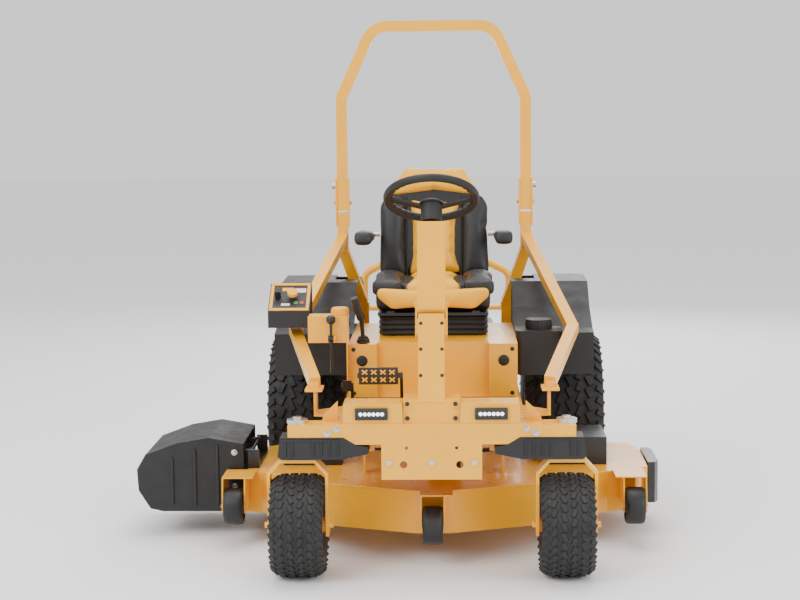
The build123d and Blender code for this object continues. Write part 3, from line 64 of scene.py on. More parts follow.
# The front axle and the midline, in the row frame.
MIDLINE_X = 0.1275
AXLE_Y = -0.8665

Point = tuple[float, float, float]


def at(x: float, y: float, z: float) -> Point:
    """Turns millimetres from the midline and the front axle into metres in the row frame.

    Args:
        x: distance to the operator's left of the midline.
        y: distance behind the front axle.
        z: height above the ground.

    Returns:
        The place in the row frame.
    """
    return (MIDLINE_X + x / 1000, AXLE_Y + y / 1000, z / 1000)


# ---------------------------------------------------------------- finishes


class Grain(Enum):
    """The kinds of surface texture, with bumps per metre and depth in metres."""

    POWDER_COAT = (900.0, 0.00010)
    MOULDED = (1400.0, 0.00022)
    SMOOTH_PLASTIC = (500.0, 0.00006)
    RUBBER = (700.0, 0.00020)
    BRUSHED = (1100.0, 0.00008)
    SAND_CAST = (800.0, 0.00045)
    VINYL = (650.0, 0.00035)


@dataclass(frozen=True)
class Finish:
    """One surface finish of the machine.

    Attributes:
        label: the name of the material.
        colour: base colour, linear.
        roughness: mean roughness.
        grain: kind of texture.
        metallic: 0 for paint and plastic, 1 for bare metal.
        mottling: how far the colour drifts over the surface.
        dust: how much pale dust lies on the upward faces.
        wear: how many scuffs show through.
        scuff: colour of a scuff.
        coat: weight of a clear top coat.
        glow: strength of its own light.
    """

    label: str
    colour: Point
    roughness: float
    grain: Grain
    metallic: float = 0.0
    mottling: float = 0.10
    dust: float = 0.10
    wear: float = 0.10
    scuff: Point = (0.45, 0.45, 0.44)
    coat: float = 0.0
    glow: float = 0.0

    def material(self) -> bpy.types.Material:
        """Builds the material once and gives the same one afterwards.

        Returns:
            The procedural material.
        """
        known = bpy.data.materials.get(self.label)
        if known is not None:
            return known
        made = bpy.data.materials.new(self.label)
        made.use_nodes = True
        made.diffuse_color = (*self.colour, 1.0)
        graph = NodeGraph(made)
        shader = made.node_tree.nodes["Principled BSDF"]
        place = graph.add("ShaderNodeTexCoord").outputs["Object"]
        colour = graph.drifting(self.colour, self.mottling, place)
        colour = graph.scuffed(colour, self.scuff, self.wear, place)
        colour = graph.dusted(colour, self.dust, place)
        graph.link(colour, shader.inputs["Base Color"])
        graph.link(graph.uneven(self.roughness, self.dust, place), shader.inputs["Roughness"])
        graph.link(graph.relief(self.grain, place), shader.inputs["Normal"])
        shader.inputs["Metallic"].default_value = self.metallic
        shader.inputs["Coat Weight"].default_value = self.coat
        shader.inputs["Coat Roughness"].default_value = 0.12
        if self.glow:
            shader.inputs["Emission Color"].default_value = (1.0, 1.0, 1.0, 1.0)
            shader.inputs["Emission Strength"].default_value = self.glow
        return made


class NodeGraph:
    """Adds and links the nodes of one material."""

    def __init__(self, material: bpy.types.Material) -> None:
        """Keeps the node tree of a material."""
        self.tree = material.node_tree

    def add(self, kind: str, **settings: object) -> bpy.types.Node:
        """Adds a node.

        Args:
            kind: the node's type.
            **settings: properties to set on it.

        Returns:
            The node.
        """
        node = self.tree.nodes.new(kind)
        for key, value in settings.items():
            setattr(node, key, value)
        return node

    def link(self, source: bpy.types.NodeSocket, target: bpy.types.NodeSocket) -> None:
        """Links two sockets."""
        self.tree.links.new(source, target)

    def noise(self, scale: float, detail: float, place: bpy.types.NodeSocket) -> bpy.types.NodeSocket:
        """Adds a noise pattern.

        Args:
            scale: features per metre.
            detail: number of octaves.
            place: the coordinates.

        Returns:
            Its value socket.
        """
        node = self.add("ShaderNodeTexNoise")
        node.inputs["Scale"].default_value = scale
        node.inputs["Detail"].default_value = detail
        self.link(place, node.inputs["Vector"])
        return node.outputs["Fac"]

    def ranged(
        self, value: bpy.types.NodeSocket, low: float, high: float, to_low: float, to_high: float
    ) -> bpy.types.NodeSocket:
        """Maps a value from one range to another, clamped.

        Args:
            value: the socket to map.
            low: bottom of the range that is read.
            high: top of the range that is read.
            to_low: result at the bottom.
            to_high: result at the top.

        Returns:
            The mapped socket.
        """
        node = self.add("ShaderNodeMapRange")
        for name, number in zip(("From Min", "From Max", "To Min", "To Max"), (low, high, to_low, to_high)):
            node.inputs[name].default_value = number
        self.link(value, node.inputs["Value"])
        return node.outputs["Result"]

    def product(self, first: bpy.types.NodeSocket, second: bpy.types.NodeSocket) -> bpy.types.NodeSocket:
        """Multiplies two values."""
        node = self.add("ShaderNodeMath", operation="MULTIPLY")
        self.link(first, node.inputs[0])
        self.link(second, node.inputs[1])
        return node.outputs[0]

    def mixed(
        self,
        share: bpy.types.NodeSocket,
        first: "bpy.types.NodeSocket | Point",
        second: "bpy.types.NodeSocket | Point",
    ) -> bpy.types.NodeSocket:
        """Mixes two colours.

        Args:
            share: how much of the second colour shows.
            first: a colour or a colour socket.
            second: a colour or a colour socket.

        Returns:
            The mixed colour socket.
        """
        node = self.add("ShaderNodeMix", data_type="RGBA")
        self.link(share, node.inputs[0])
        for socket, colour in ((node.inputs[6], first), (node.inputs[7], second)):
            if isinstance(colour, bpy.types.NodeSocket):
                self.link(colour, socket)
            else:
                socket.default_value = (*colour, 1.0)
        return node.outputs[2]

    def drifting(self, colour: Point, amount: float, place: bpy.types.NodeSocket) -> bpy.types.NodeSocket:
        """Lets a colour drift a little darker and lighter over the surface.

        Args:
            colour: the mean colour.
            amount: share of the colour that it drifts by.
            place: the coordinates.

        Returns:
            The colour socket.
        """
        darker = tuple(part * (1 - amount) for part in colour)
        lighter = tuple(min(1.0, part * (1 + amount * 0.5)) for part in colour)
        broad = self.ranged(self.noise(5.0, 3.0, place), 0.35, 0.65, 0.0, 1.0)
        return self.mixed(broad, darker, lighter)

    def scuffed(
        self, colour: bpy.types.NodeSocket, scuff: Point, amount: float, place: bpy.types.NodeSocket
    ) -> bpy.types.NodeSocket:
        """Adds thin, broken scuffs.

        Args:
            colour: the colour beneath.
            scuff: the colour of a scuff.
            amount: how strongly scuffs show.
            place: the coordinates.

        Returns:
            The colour socket.
        """
        stretch = self.add("ShaderNodeMapping")
        stretch.inputs["Scale"].default_value = (1.0, 0.35, 1.6)
        self.link(place, stretch.inputs["Vector"])
        streaks = self.ranged(self.noise(160.0, 5.0, stretch.outputs["Vector"]), 0.62, 0.72, 0.0, 1.0)
        patches = self.ranged(self.noise(14.0, 2.0, place), 0.52, 0.70, 0.0, amount)
        return self.mixed(self.product(streaks, patches), colour, scuff)

    def dusted(
        self, colour: bpy.types.NodeSocket, amount: float, place: bpy.types.NodeSocket
    ) -> bpy.types.NodeSocket:
        """Lays dust on the faces that look up.

        Args:
            colour: the colour beneath.
            amount: how strongly the dust shows.
            place: the coordinates.

        Returns:
            The colour socket.
        """
        normal = self.add("ShaderNodeSeparateXYZ")
        self.link(self.add("ShaderNodeNewGeometry").outputs["Normal"], normal.inputs[0])
        upward = self.ranged(normal.outputs["Z"], 0.2, 1.0, 0.15, 1.0)
        cloud = self.ranged(self.noise(28.0, 6.0, place), 0.35, 0.75, 0.0, amount)
        return self.mixed(self.product(upward, cloud), colour, (0.42, 0.38, 0.32))

    def uneven(self, mean: float, dust: float, place: bpy.types.NodeSocket) -> bpy.types.NodeSocket:
        """Gives a roughness that varies with handling.

        Args:
            mean: the mean roughness.
            dust: dusty finishes vary more.
            place: the coordinates.

        Returns:
            The roughness socket.
        """
        spread = 0.07 + dust * 0.3
        low, high = max(0.05, mean - spread), min(1.0, mean + spread)
        return self.ranged(self.noise(22.0, 4.0, place), 0.3, 0.7, low, high)

    def relief(self, grain: Grain, place: bpy.types.NodeSocket) -> bpy.types.NodeSocket:
        """Gives the bump of a grain.

        Args:
            grain: the kind of texture.
            place: the coordinates.

        Returns:
            The normal socket.
        """
        scale, depth = grain.value
        if grain is Grain.BRUSHED:
            stretch = self.add("ShaderNodeMapping")
            stretch.inputs["Scale"].default_value = (1.0, 1.0, 0.08)
            self.link(place, stretch.inputs["Vector"])
            place = stretch.outputs["Vector"]
        bump = self.add("ShaderNodeBump")
        bump.inputs["Strength"].default_value = 1.0
        bump.inputs["Distance"].default_value = depth
        self.link(self.noise(scale, 3.0, place), bump.inputs["Height"])
        return bump.outputs["Normal"]


YELLOW_PAINT = Finish(
    "yellow_powder_coat", (0.95, 0.43, 0.0), 0.34, Grain.POWDER_COAT, dust=0.06, wear=0.05, coat=0.25, mottling=0.05,
)
YELLOW_PLASTIC = Finish(
    "yellow_moulding", (0.95, 0.44, 0.0), 0.42, Grain.SMOOTH_PLASTIC, dust=0.06, wear=0.04, mottling=0.04,
)
BLACK_PLASTIC = Finish(
    "black_moulding", (0.0085, 0.0085, 0.009), 0.50, Grain.MOULDED, dust=0.025, wear=0.06, scuff=(0.12, 0.12, 0.12),
)
BLACK_GRIP = Finish(
    "black_grip", (0.008, 0.008, 0.0085), 0.58, Grain.RUBBER, dust=0.03, wear=0.06, scuff=(0.10, 0.10, 0.10),
)
BLACK_PAINT = Finish(
    "black_powder_coat", (0.009, 0.009, 0.010), 0.36, Grain.POWDER_COAT, dust=0.03, wear=0.10, coat=0.15,
    scuff=(0.20, 0.20, 0.20),
)
TYRE_RUBBER = Finish(
    "tyre_rubber", (0.011, 0.011, 0.011), 0.68, Grain.RUBBER, dust=0.05, wear=0.08, scuff=(0.09, 0.085, 0.08),
)
RIM_PAINT = Finish("rim_powder_coat", (0.94, 0.42, 0.0), 0.38, Grain.POWDER_COAT, dust=0.10, wear=0.08, coat=0.15)
ZINC = Finish(
    "zinc_plate", (0.62, 0.62, 0.60), 0.32, Grain.BRUSHED, metallic=1.0, dust=0.06, wear=0.15,
    scuff=(0.30, 0.28, 0.25),
)
MUFFLER_STEEL = Finish(
    "muffler_steel", (0.30, 0.27, 0.24), 0.48, Grain.SAND_CAST, metallic=1.0, mottling=0.3, dust=0.1, wear=0.4,
    scuff=(0.20, 0.11, 0.06),
)
CAST_ALUMINIUM = Finish("cast_aluminium", (0.50, 0.50, 0.50), 0.50, Grain.SAND_CAST, metallic=0.9, dust=0.1, wear=0.1)
BLADE_STEEL = Finish(
    "blade_steel", (0.32, 0.32, 0.33), 0.38, Grain.BRUSHED, metallic=1.0, dust=0.1, wear=0.4,
    scuff=(0.22, 0.16, 0.10),
)
CAST_IRON = Finish("cast_iron", (0.08, 0.08, 0.085), 0.55, Grain.SAND_CAST, metallic=0.5, dust=0.1, wear=0.2)
BELT_RUBBER = Finish(
    "belt_rubber", (0.022, 0.022, 0.022), 0.70, Grain.RUBBER, dust=0.15, wear=0.2, scuff=(0.14, 0.13, 0.12),
)
LAMP_HOUSING = Finish(
    "lamp_housing", (0.015, 0.015, 0.016), 0.30, Grain.SMOOTH_PLASTIC, dust=0.04, wear=0.05, scuff=(0.1, 0.1, 0.1),
)
BLACK_VINYL = Finish(
    "black_seat_vinyl", (0.010, 0.010, 0.0105), 0.48, Grain.VINYL, dust=0.02, wear=0.06, scuff=(0.08, 0.08, 0.08),
)
YELLOW_VINYL = Finish(
    "yellow_seat_vinyl", (0.94, 0.45, 0.0), 0.50, Grain.VINYL, dust=0.04, wear=0.05, scuff=(0.5, 0.33, 0.05),
)
FLOOR_MAT = Finish(
    "floor_mat", (0.030, 0.030, 0.031), 0.78, Grain.RUBBER, dust=0.18, wear=0.10, scuff=(0.12, 0.12, 0.12),
)
RED_MARK = Finish("red_mark", (0.55, 0.025, 0.015), 0.45, Grain.SMOOTH_PLASTIC, dust=0.03, wear=0.04)
GREEN_MARK = Finish("green_mark", (0.03, 0.28, 0.06), 0.45, Grain.SMOOTH_PLASTIC, dust=0.03, wear=0.04)
WHITE_MARK = Finish("white_mark", (0.75, 0.75, 0.73), 0.45, Grain.SMOOTH_PLASTIC, dust=0.03, wear=0.04)
LENS = Finish("lamp_lens", (0.95, 0.95, 0.97), 0.12, Grain.SMOOTH_PLASTIC, dust=0.02, wear=0.02, coat=0.6, glow=2.5)


# ------------------------------------------------------------ workbench


class Workbench:
    """Modelling steps that the sub-assemblies share."""

    @staticmethod
    def clear() -> None:
        """Leaves edit mode and deselects every object."""
        if bpy.context.object is not None and bpy.context.object.mode != "OBJECT":
            bpy.ops.object.mode_set(mode="OBJECT")
        bpy.ops.object.select_all(action="DESELECT")

    @staticmethod
    def take(obj: bpy.types.Object) -> None:
        """Selects one object alone and makes it the active one."""
        Workbench.clear()
        obj.select_set(True)
        bpy.context.view_layer.objects.active = obj

    @staticmethod
    def edit(obj: bpy.types.Object, step: Callable[[], None]) -> None:
        """Runs operators in edit mode on the whole mesh.

        Args:
            obj: the object to edit.
            step: calls the operators.
        """
        Workbench.take(obj)
        bpy.ops.object.mode_set(mode="EDIT")
        bpy.ops.mesh.select_mode(type="VERT")
        bpy.ops.mesh.select_all(action="SELECT")
        step()
        bpy.ops.object.mode_set(mode="OBJECT")

    @staticmethod
    def pick(obj: bpy.types.Object, wanted: Callable[[bpy.types.MeshPolygon], bool]) -> None:
        """Enters edit mode with only the wanted faces selected.

        Args:
            obj: the object to edit.
            wanted: says whether a face is selected.
        """
        Workbench.take(obj)
        bpy.ops.object.mode_set(mode="EDIT")
        bpy.ops.mesh.select_mode(type="FACE")
        bpy.ops.mesh.select_all(action="DESELECT")
        bpy.ops.object.mode_set(mode="OBJECT")
        for polygon in obj.data.polygons:
            polygon.select = wanted(polygon)
        bpy.ops.object.mode_set(mode="EDIT")

    @staticmethod
    def block(name: str, centre: Point, size: Point, edge: float = 0.0, steps: int = 2) -> bpy.types.Object:
        """Makes a block with rounded edges.

        Args:
            name: name of the piece.
            centre: its middle.
            size: its three lengths.
            edge: radius of the edges.
            steps: segments across an edge.

        Returns:
            The object, with its place in its mesh.
        """
        Workbench.clear()
        bpy.ops.mesh.primitive_cube_add(size=1.0, location=centre)
        obj = bpy.context.object
        obj.name = name
        obj.scale = size
        bpy.ops.object.transform_apply(location=True, rotation=True, scale=True)
        if edge:
            Workbench.edit(obj, lambda: bpy.ops.mesh.bevel(offset=edge, segments=steps, affect="EDGES"))
        return obj

    @staticmethod
    def turned(
        name: str, profile: Sequence[tuple[float, float]], centre: Point, axis: str = "Z", steps: int = 32
    ) -> bpy.types.Object:
        """Spins a profile about an axis.

        Args:
            name: name of the piece.
            profile: (radius, height along the axis) of each point; a closed loop when its ends meet.
            centre: the point on the axis at height 0.
            axis: X, Y or Z.
            steps: segments round the axis.

        Returns:
            The object, with its place in its mesh.
        """
        Workbench.clear()
        bpy.ops.mesh.primitive_plane_add(size=1.0)
        obj = bpy.context.object
        obj.name = name
        build = bmesh.new()
        points = [build.verts.new((radius, 0.0, height)) for radius, height in profile]
        for first, second in zip(points, points[1:]):
            build.edges.new((first, second))
        build.to_mesh(obj.data)
        build.free()
        Workbench.edit(
            obj,
            lambda: bpy.ops.mesh.spin(steps=steps, angle=2 * math.pi, center=(0, 0, 0), axis=(0, 0, 1)),
        )
        Workbench.close(obj)
        turn = {"X": Matrix.Rotation(math.pi / 2, 4, "Y"), "Y": Matrix.Rotation(-math.pi / 2, 4, "X"), "Z": Matrix()}
        obj.data.transform(Matrix.Translation(centre) @ turn[axis])
        return obj

    @staticmethod
    def close(obj: bpy.types.Object, gap: float = 0.00002) -> None:
        """Merges doubled points and points the faces outwards.

        Args:
            obj: the object to close.
            gap: points nearer than this are merged.
        """

        def steps() -> None:
            """Merges and turns the faces."""
            bpy.ops.mesh.remove_doubles(threshold=gap)
            bpy.ops.mesh.select_all(action="SELECT")
            bpy.ops.mesh.normals_make_consistent(inside=False)

        Workbench.edit(obj, steps)

    @staticmethod
    def modify(obj: bpy.types.Object, kind: str, **settings: object) -> None:
        """Adds one modifier and applies it.

        Args:
            obj: the object.
            kind: the modifier's type.
            **settings: its properties.
        """
        Workbench.take(obj)
        modifier = obj.modifiers.new(kind.title(), kind)
        for key, value in settings.items():
            setattr(modifier, key, value)
        bpy.ops.object.modifier_apply(modifier=modifier.name)

    @staticmethod
    def tube(
        name: str, points: Sequence[Point], radius: float, smooth: bool = True, sides: int = 3,
    ) -> bpy.types.Object:
        """Makes a round bar along a line.

        Args:
            name: name of the piece.
            points: the line.
            radius: radius of the bar.
            smooth: whether the line is drawn as a smooth curve.
            sides: curve resolution of the round section.

        Returns:
            The object as a mesh.
        """
        Workbench.clear()
        curve = bpy.data.curves.new(name, "CURVE")
        curve.dimensions = "3D"
        curve.bevel_depth = radius
        curve.bevel_resolution = sides
        curve.use_fill_caps = True
        spline = curve.splines.new("BEZIER" if smooth else "POLY")
        if smooth:
            spline.bezier_points.add(len(points) - 1)
            for knot, point in zip(spline.bezier_points, points):
                knot.co = point
                knot.handle_left_type = knot.handle_right_type = "AUTO"
        else:
            spline.points.add(len(points) - 1)
            for knot, point in zip(spline.points, points):
                knot.co = (*point, 1.0)
        obj = bpy.data.objects.new(name, curve)
        bpy.context.collection.objects.link(obj)
        Workbench.take(obj)
        bpy.ops.object.convert(target="MESH")
        made = bpy.context.object
        Workbench.close(made)
        return made

    @staticmethod
    def copied(obj: bpy.types.Object, moves: Iterable[Matrix], keep: bool = True) -> bpy.types.Object:
        """Repeats a mesh inside itself, a copy for each move.

        Args:
            obj: the object to repeat.
            moves: where each copy goes, from the first one's place.
            keep: whether the first one stays.

        Returns:
            The same object.
        """
        pattern = obj.data.copy()
        build = bmesh.new()
        if keep:
            build.from_mesh(pattern)
        for move in moves:
            moved = pattern.copy()
            moved.transform(move)
            build.from_mesh(moved)
            bpy.data.meshes.remove(moved)
        build.to_mesh(obj.data)
        build.free()
        bpy.data.meshes.remove(pattern)
        return obj

    @staticmethod
    def joined(name: str, parts: Sequence[bpy.types.Object]) -> bpy.types.Object:
        """Joins several meshes as one piece.

        Args:
            name: name of the piece.
            parts: the objects, the first of which is kept.

        Returns:
            The joined object.
        """
        Workbench.take(parts[0])
        for part in parts:
            part.select_set(True)
        if len(parts) > 1:
            bpy.ops.object.join()
        parts[0].name = name
        return parts[0]

    @staticmethod
    def finish(
        obj: bpy.types.Object, finish: Finish, body: str, slot: str, smooth: float = 35.0, stands_for: Sequence[
            str
        ] = ()
    ) -> bpy.types.Object:
        """Dresses a piece and hands it to its moving body.

        Args:
            obj: the finished mesh.
            finish: its surface.
            body: the body that it rides on, or nothing to leave it unattached.
            slot: not used.
            smooth: sharpest angle in degrees that is shaded smooth.
            stands_for: the nodes of the frame that it stands for.

        Returns:
            The object.
        """
        Workbench.take(obj)
        bpy.ops.object.shade_smooth_by_angle(angle=math.radians(smooth))
        obj.data.materials.clear()
        obj.data.materials.append(finish.material())
        if body:
            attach(obj, body)
        if stands_for:
            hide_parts(*stands_for)
        log.info("%s: %d faces on %s", obj.name, len(obj.data.polygons), body)
        return obj


# ------------------------------------------------------- frame and studio

SLOT_FINISH: dict[str, Finish] = {
    "yellow_paint": YELLOW_PAINT,
    "yellow_plastic": YELLOW_PLASTIC,
    "black_plastic": BLACK_PLASTIC,
    "black_rubber_plastic": BLACK_GRIP,
    "black_paint": BLACK_PAINT,
    "tyre": TYRE_RUBBER,
    "rim_paint": RIM_PAINT,
    "zinc": ZINC,
    "muffler_steel": MUFFLER_STEEL,
    "cast_aluminium": CAST_ALUMINIUM,
    "blade_steel": BLADE_STEEL,
    "cast_iron": CAST_IRON,
    "belt_rubber": BELT_RUBBER,
    "lamp_housing": LAMP_HOUSING,
    "seat_vinyl": BLACK_VINYL,
}


@dataclass
class PackedFrame:
    """The machine's rigid pieces, as they come with the frame."""

    def dress(self) -> None:
        """Gives every node of the frame the finish of its slot."""
        slots = self.slots()
        for name, obj in frame["nodes"].items():
            finish = SLOT_FINISH.get(slots.get(name, ""), BLACK_PAINT)
            obj.data.materials.clear()
            obj.data.materials.append(finish.material())
            log.info("node %s dressed as %s", name, finish.label)

    def slots(self) -> dict[str, str]:
        """Reads each node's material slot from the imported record.

        Returns:
            The slot's name by the node's name.
        """
        return {row["node"]: row["material_slot"] for row in frame["record"]["subparts"]}


@dataclass
class Studio:
    """Floor, lights and camera."""

    place: Point = (0.2018, -6.0739, 1.4915)
    yaw: float = 0.0328
    pitch: float = 0.1146
    roll: float = 0.0103
    lens: float = 74.8
    floor_tone: float = 0.94
    sky: float = 1.1

    def build(self) -> None:
        """Builds the floor, the lights and the camera."""
        self.floor()
        self.lights()
        self.camera()

    def floor(self) -> None:
        """Lays a plain pale floor."""
        Workbench.clear()
        bpy.ops.mesh.primitive_plane_add(size=60.0, location=(0.0, 0.0, -0.0005))
        floor = bpy.context.object
        floor.name = "studio_floor"
        tone = bpy.data.materials.new("studio_floor")
        tone.use_nodes = True
        shader = tone.node_tree.nodes["Principled BSDF"]
        shader.inputs["Base Color"].default_value = (self.floor_tone,) * 3 + (1.0,)
        shader.inputs["Roughness"].default_value = 0.9
        floor.data.materials.append(tone)

    def lights(self) -> None:
        """Hangs large soft lights round the machine and lifts the room's light."""
        world = bpy.data.worlds.new("studio_room")
        world.use_nodes = True
        room = world.node_tree.nodes["Background"]
        room.inputs["Color"].default_value = (1.0, 1.0, 1.0, 1.0)
        room.inputs["Strength"].default_value = self.sky
        bpy.context.scene.world = world
        panels = (
            ("key_light", (-3.4, -4.2, 4.2), 3.0, 210.0),
            ("fill_light", (4.0, -4.0, 2.6), 3.2, 110.0),
            ("top_light", (0.0, 0.4, 5.0), 3.6, 150.0),
            ("rear_light", (1.0, 5.2, 3.0), 3.0, 120.0),
        )
        for name, place, size, power in panels:
            lamp = bpy.data.lights.new(name, "AREA")
            lamp.energy = power
            lamp.size = size
            obj = bpy.data.objects.new(name, lamp)
            obj.location = place
            obj.rotation_euler = (Vector((0.0, 0.0, 0.7)) - Vector(place)).to_track_quat("-Z", "Y").to_euler()
            bpy.context.collection.objects.link(obj)

    def camera(self) -> None:
        """Sets the camera in front of the machine, a little above it."""
        forward = Vector(
            (
                -math.sin(self.yaw) * math.cos(self.pitch), math.cos(self.yaw) * math.cos(self.pitch),
                -math.sin(self.pitch),
            )
        )
        right = Vector((math.cos(self.yaw), math.sin(self.yaw), 0.0))
        up = right.cross(forward)
        cosine, sine = math.cos(self.roll), math.sin(self.roll)
        axes = (cosine * right - sine * up, sine * right + cosine * up, -forward)
        data = bpy.data.cameras.new("studio_camera")
        data.lens = self.lens
        data.sensor_width = 36.0
        data.clip_end = 200.0
        camera = bpy.data.objects.new("studio_camera", data)
        camera.matrix_world = Matrix.Translation(self.place) @ Matrix(axes).transposed().to_4x4()
        bpy.context.collection.objects.link(camera)
        bpy.context.scene.camera = camera


class Shapes:
    """Plates, pads and bars that several sub-assemblies use."""

    @staticmethod
    def plate(
        name: str, outline: Sequence[
            tuple[float, float]
        ], depth: float, place: Matrix, edge: float = 0.0, steps: int = 2
    ) -> bpy.types.Object:
        """Extrudes an outline into a plate.

        Args:
            name: name of the piece.
            outline: its corners, in metres, in the plate's own plane.
            depth: how far it is extruded along the plane's normal.
            place: turns the plate's own axes into the row frame.
            edge: radius of the edges.
            steps: segments across an edge.

        Returns:
            The object, with its place in its mesh.
        """
        Workbench.clear()
        bpy.ops.mesh.primitive_plane_add(size=1.0)
        obj = bpy.context.object
        obj.name = name
        build = bmesh.new()
        build.faces.new([build.verts.new((a, b, 0.0)) for a, b in outline])
        build.to_mesh(obj.data)
        build.free()

        def steps_in_order() -> None:
            """Extrudes, turns the faces out and rounds the edges."""
            bpy.ops.mesh.extrude_region_move(TRANSFORM_OT_translate={"value": (0.0, 0.0, depth)})
            bpy.ops.mesh.select_all(action="SELECT")
            bpy.ops.mesh.normals_make_consistent(inside=False)
            if edge:
                bpy.ops.mesh.bevel(offset=edge, segments=steps, affect="EDGES")

        Workbench.edit(obj, steps_in_order)
        obj.data.transform(place)
        Workbench.close(obj)
        return obj

    @staticmethod
    def frame_at(origin: Point, across: Vector, along: Vector) -> Matrix:
        """Gives the frame whose first two axes are across and along.

        Args:
            origin: its origin in the row frame.
            across: its first axis.
            along: its second axis.

        Returns:
            The matrix into the row frame.
        """
        first = across.normalized()
        third = first.cross(along).normalized()
        second = third.cross(first)
        return Matrix.Translation(origin) @ Matrix((first, second, third)).transposed().to_4x4()

    @staticmethod
    def bolt(
        name: str, centre: Point, outward: Vector, radius: float, height: float, washer: bool = True,
    ) -> bpy.types.Object:
        """Makes a hexagon head on a washer.

        Args:
            name: name of the piece.
            centre: where the washer meets the surface.
            outward: the way the head points.
            radius: of the hexagon, across its corners.
            height: of the head.
            washer: whether it sits on a washer.

        Returns:
            The object.
        """
        Workbench.clear()
        bpy.ops.mesh.primitive_cylinder_add(vertices=6, radius=radius, depth=height, location=(0, 0, height / 2))
        head = bpy.context.object
        bpy.ops.object.transform_apply(location=True, rotation=True, scale=True)
        Workbench.pick(head, lambda face: face.normal.z > 0.9)
        bpy.ops.mesh.inset(thickness=radius * 0.12, depth=radius * 0.08)
        bpy.ops.object.mode_set(mode="OBJECT")
        parts = [head]
        if washer:
            bpy.ops.mesh.primitive_cylinder_add(vertices=20, radius=radius * 1.35, depth=height * 0.22)
            ring = bpy.context.object
            bpy.ops.object.transform_apply(location=True, rotation=True, scale=True)
            Workbench.edit(ring, lambda: bpy.ops.mesh.bevel(offset=height * 0.05, segments=1, affect="EDGES"))
            parts.append(ring)
        bolt = Workbench.joined(name, parts)
        bolt.data.transform(Matrix.Translation(centre) @ outward.to_track_quat("Z", "Y").to_matrix().to_4x4())
        return bolt

    @staticmethod
    def stuffed(obj: bpy.types.Object, grain: float = 0.007, cap: float = 0.022, pressure: float = 4.0) -> None:
        """Fills a closed cover so that it crowns between its seams.

        Args:
            obj: the flat-sided cover.
            grain: size of the mesh that it is given.
            cap: the furthest that the cover may move.
            pressure: how hard it is filled.
        """
        middle = sum((vertex.co for vertex in obj.data.vertices), Vector()) / len(obj.data.vertices)
        shrink = Matrix.Translation(middle) @ Matrix.Scale(0.97, 4) @ Matrix.Translation(-middle)
        obj.data.transform(shrink)
        Workbench.modify(obj, "REMESH", mode="VOXEL", voxel_size=grain)
        start = [vertex.co.copy() for vertex in obj.data.vertices]
        Workbench.take(obj)
        cloth = obj.modifiers.new("Cover", "CLOTH")
        cloth.settings.use_pressure = True
        cloth.settings.uniform_pressure_force = pressure
        cloth.settings.effector_weights.gravity = 0.0
        cloth.settings.quality = 4
        cloth.point_cache.frame_start = 1
        cloth.point_cache.frame_end = 20
        for number in range(1, 21):
            bpy.context.scene.frame_set(number)
        bpy.ops.object.modifier_apply(modifier=cloth.name)
        bpy.context.scene.frame_set(1)
        for vertex, was in zip(obj.data.vertices, start):
            moved = vertex.co - was
            if moved.length > cap:
                vertex.co = was + moved * (cap / moved.length)
        Workbench.modify(obj, "SMOOTH", factor=0.5, iterations=3)


# ------------------------------------------------------------------- seat


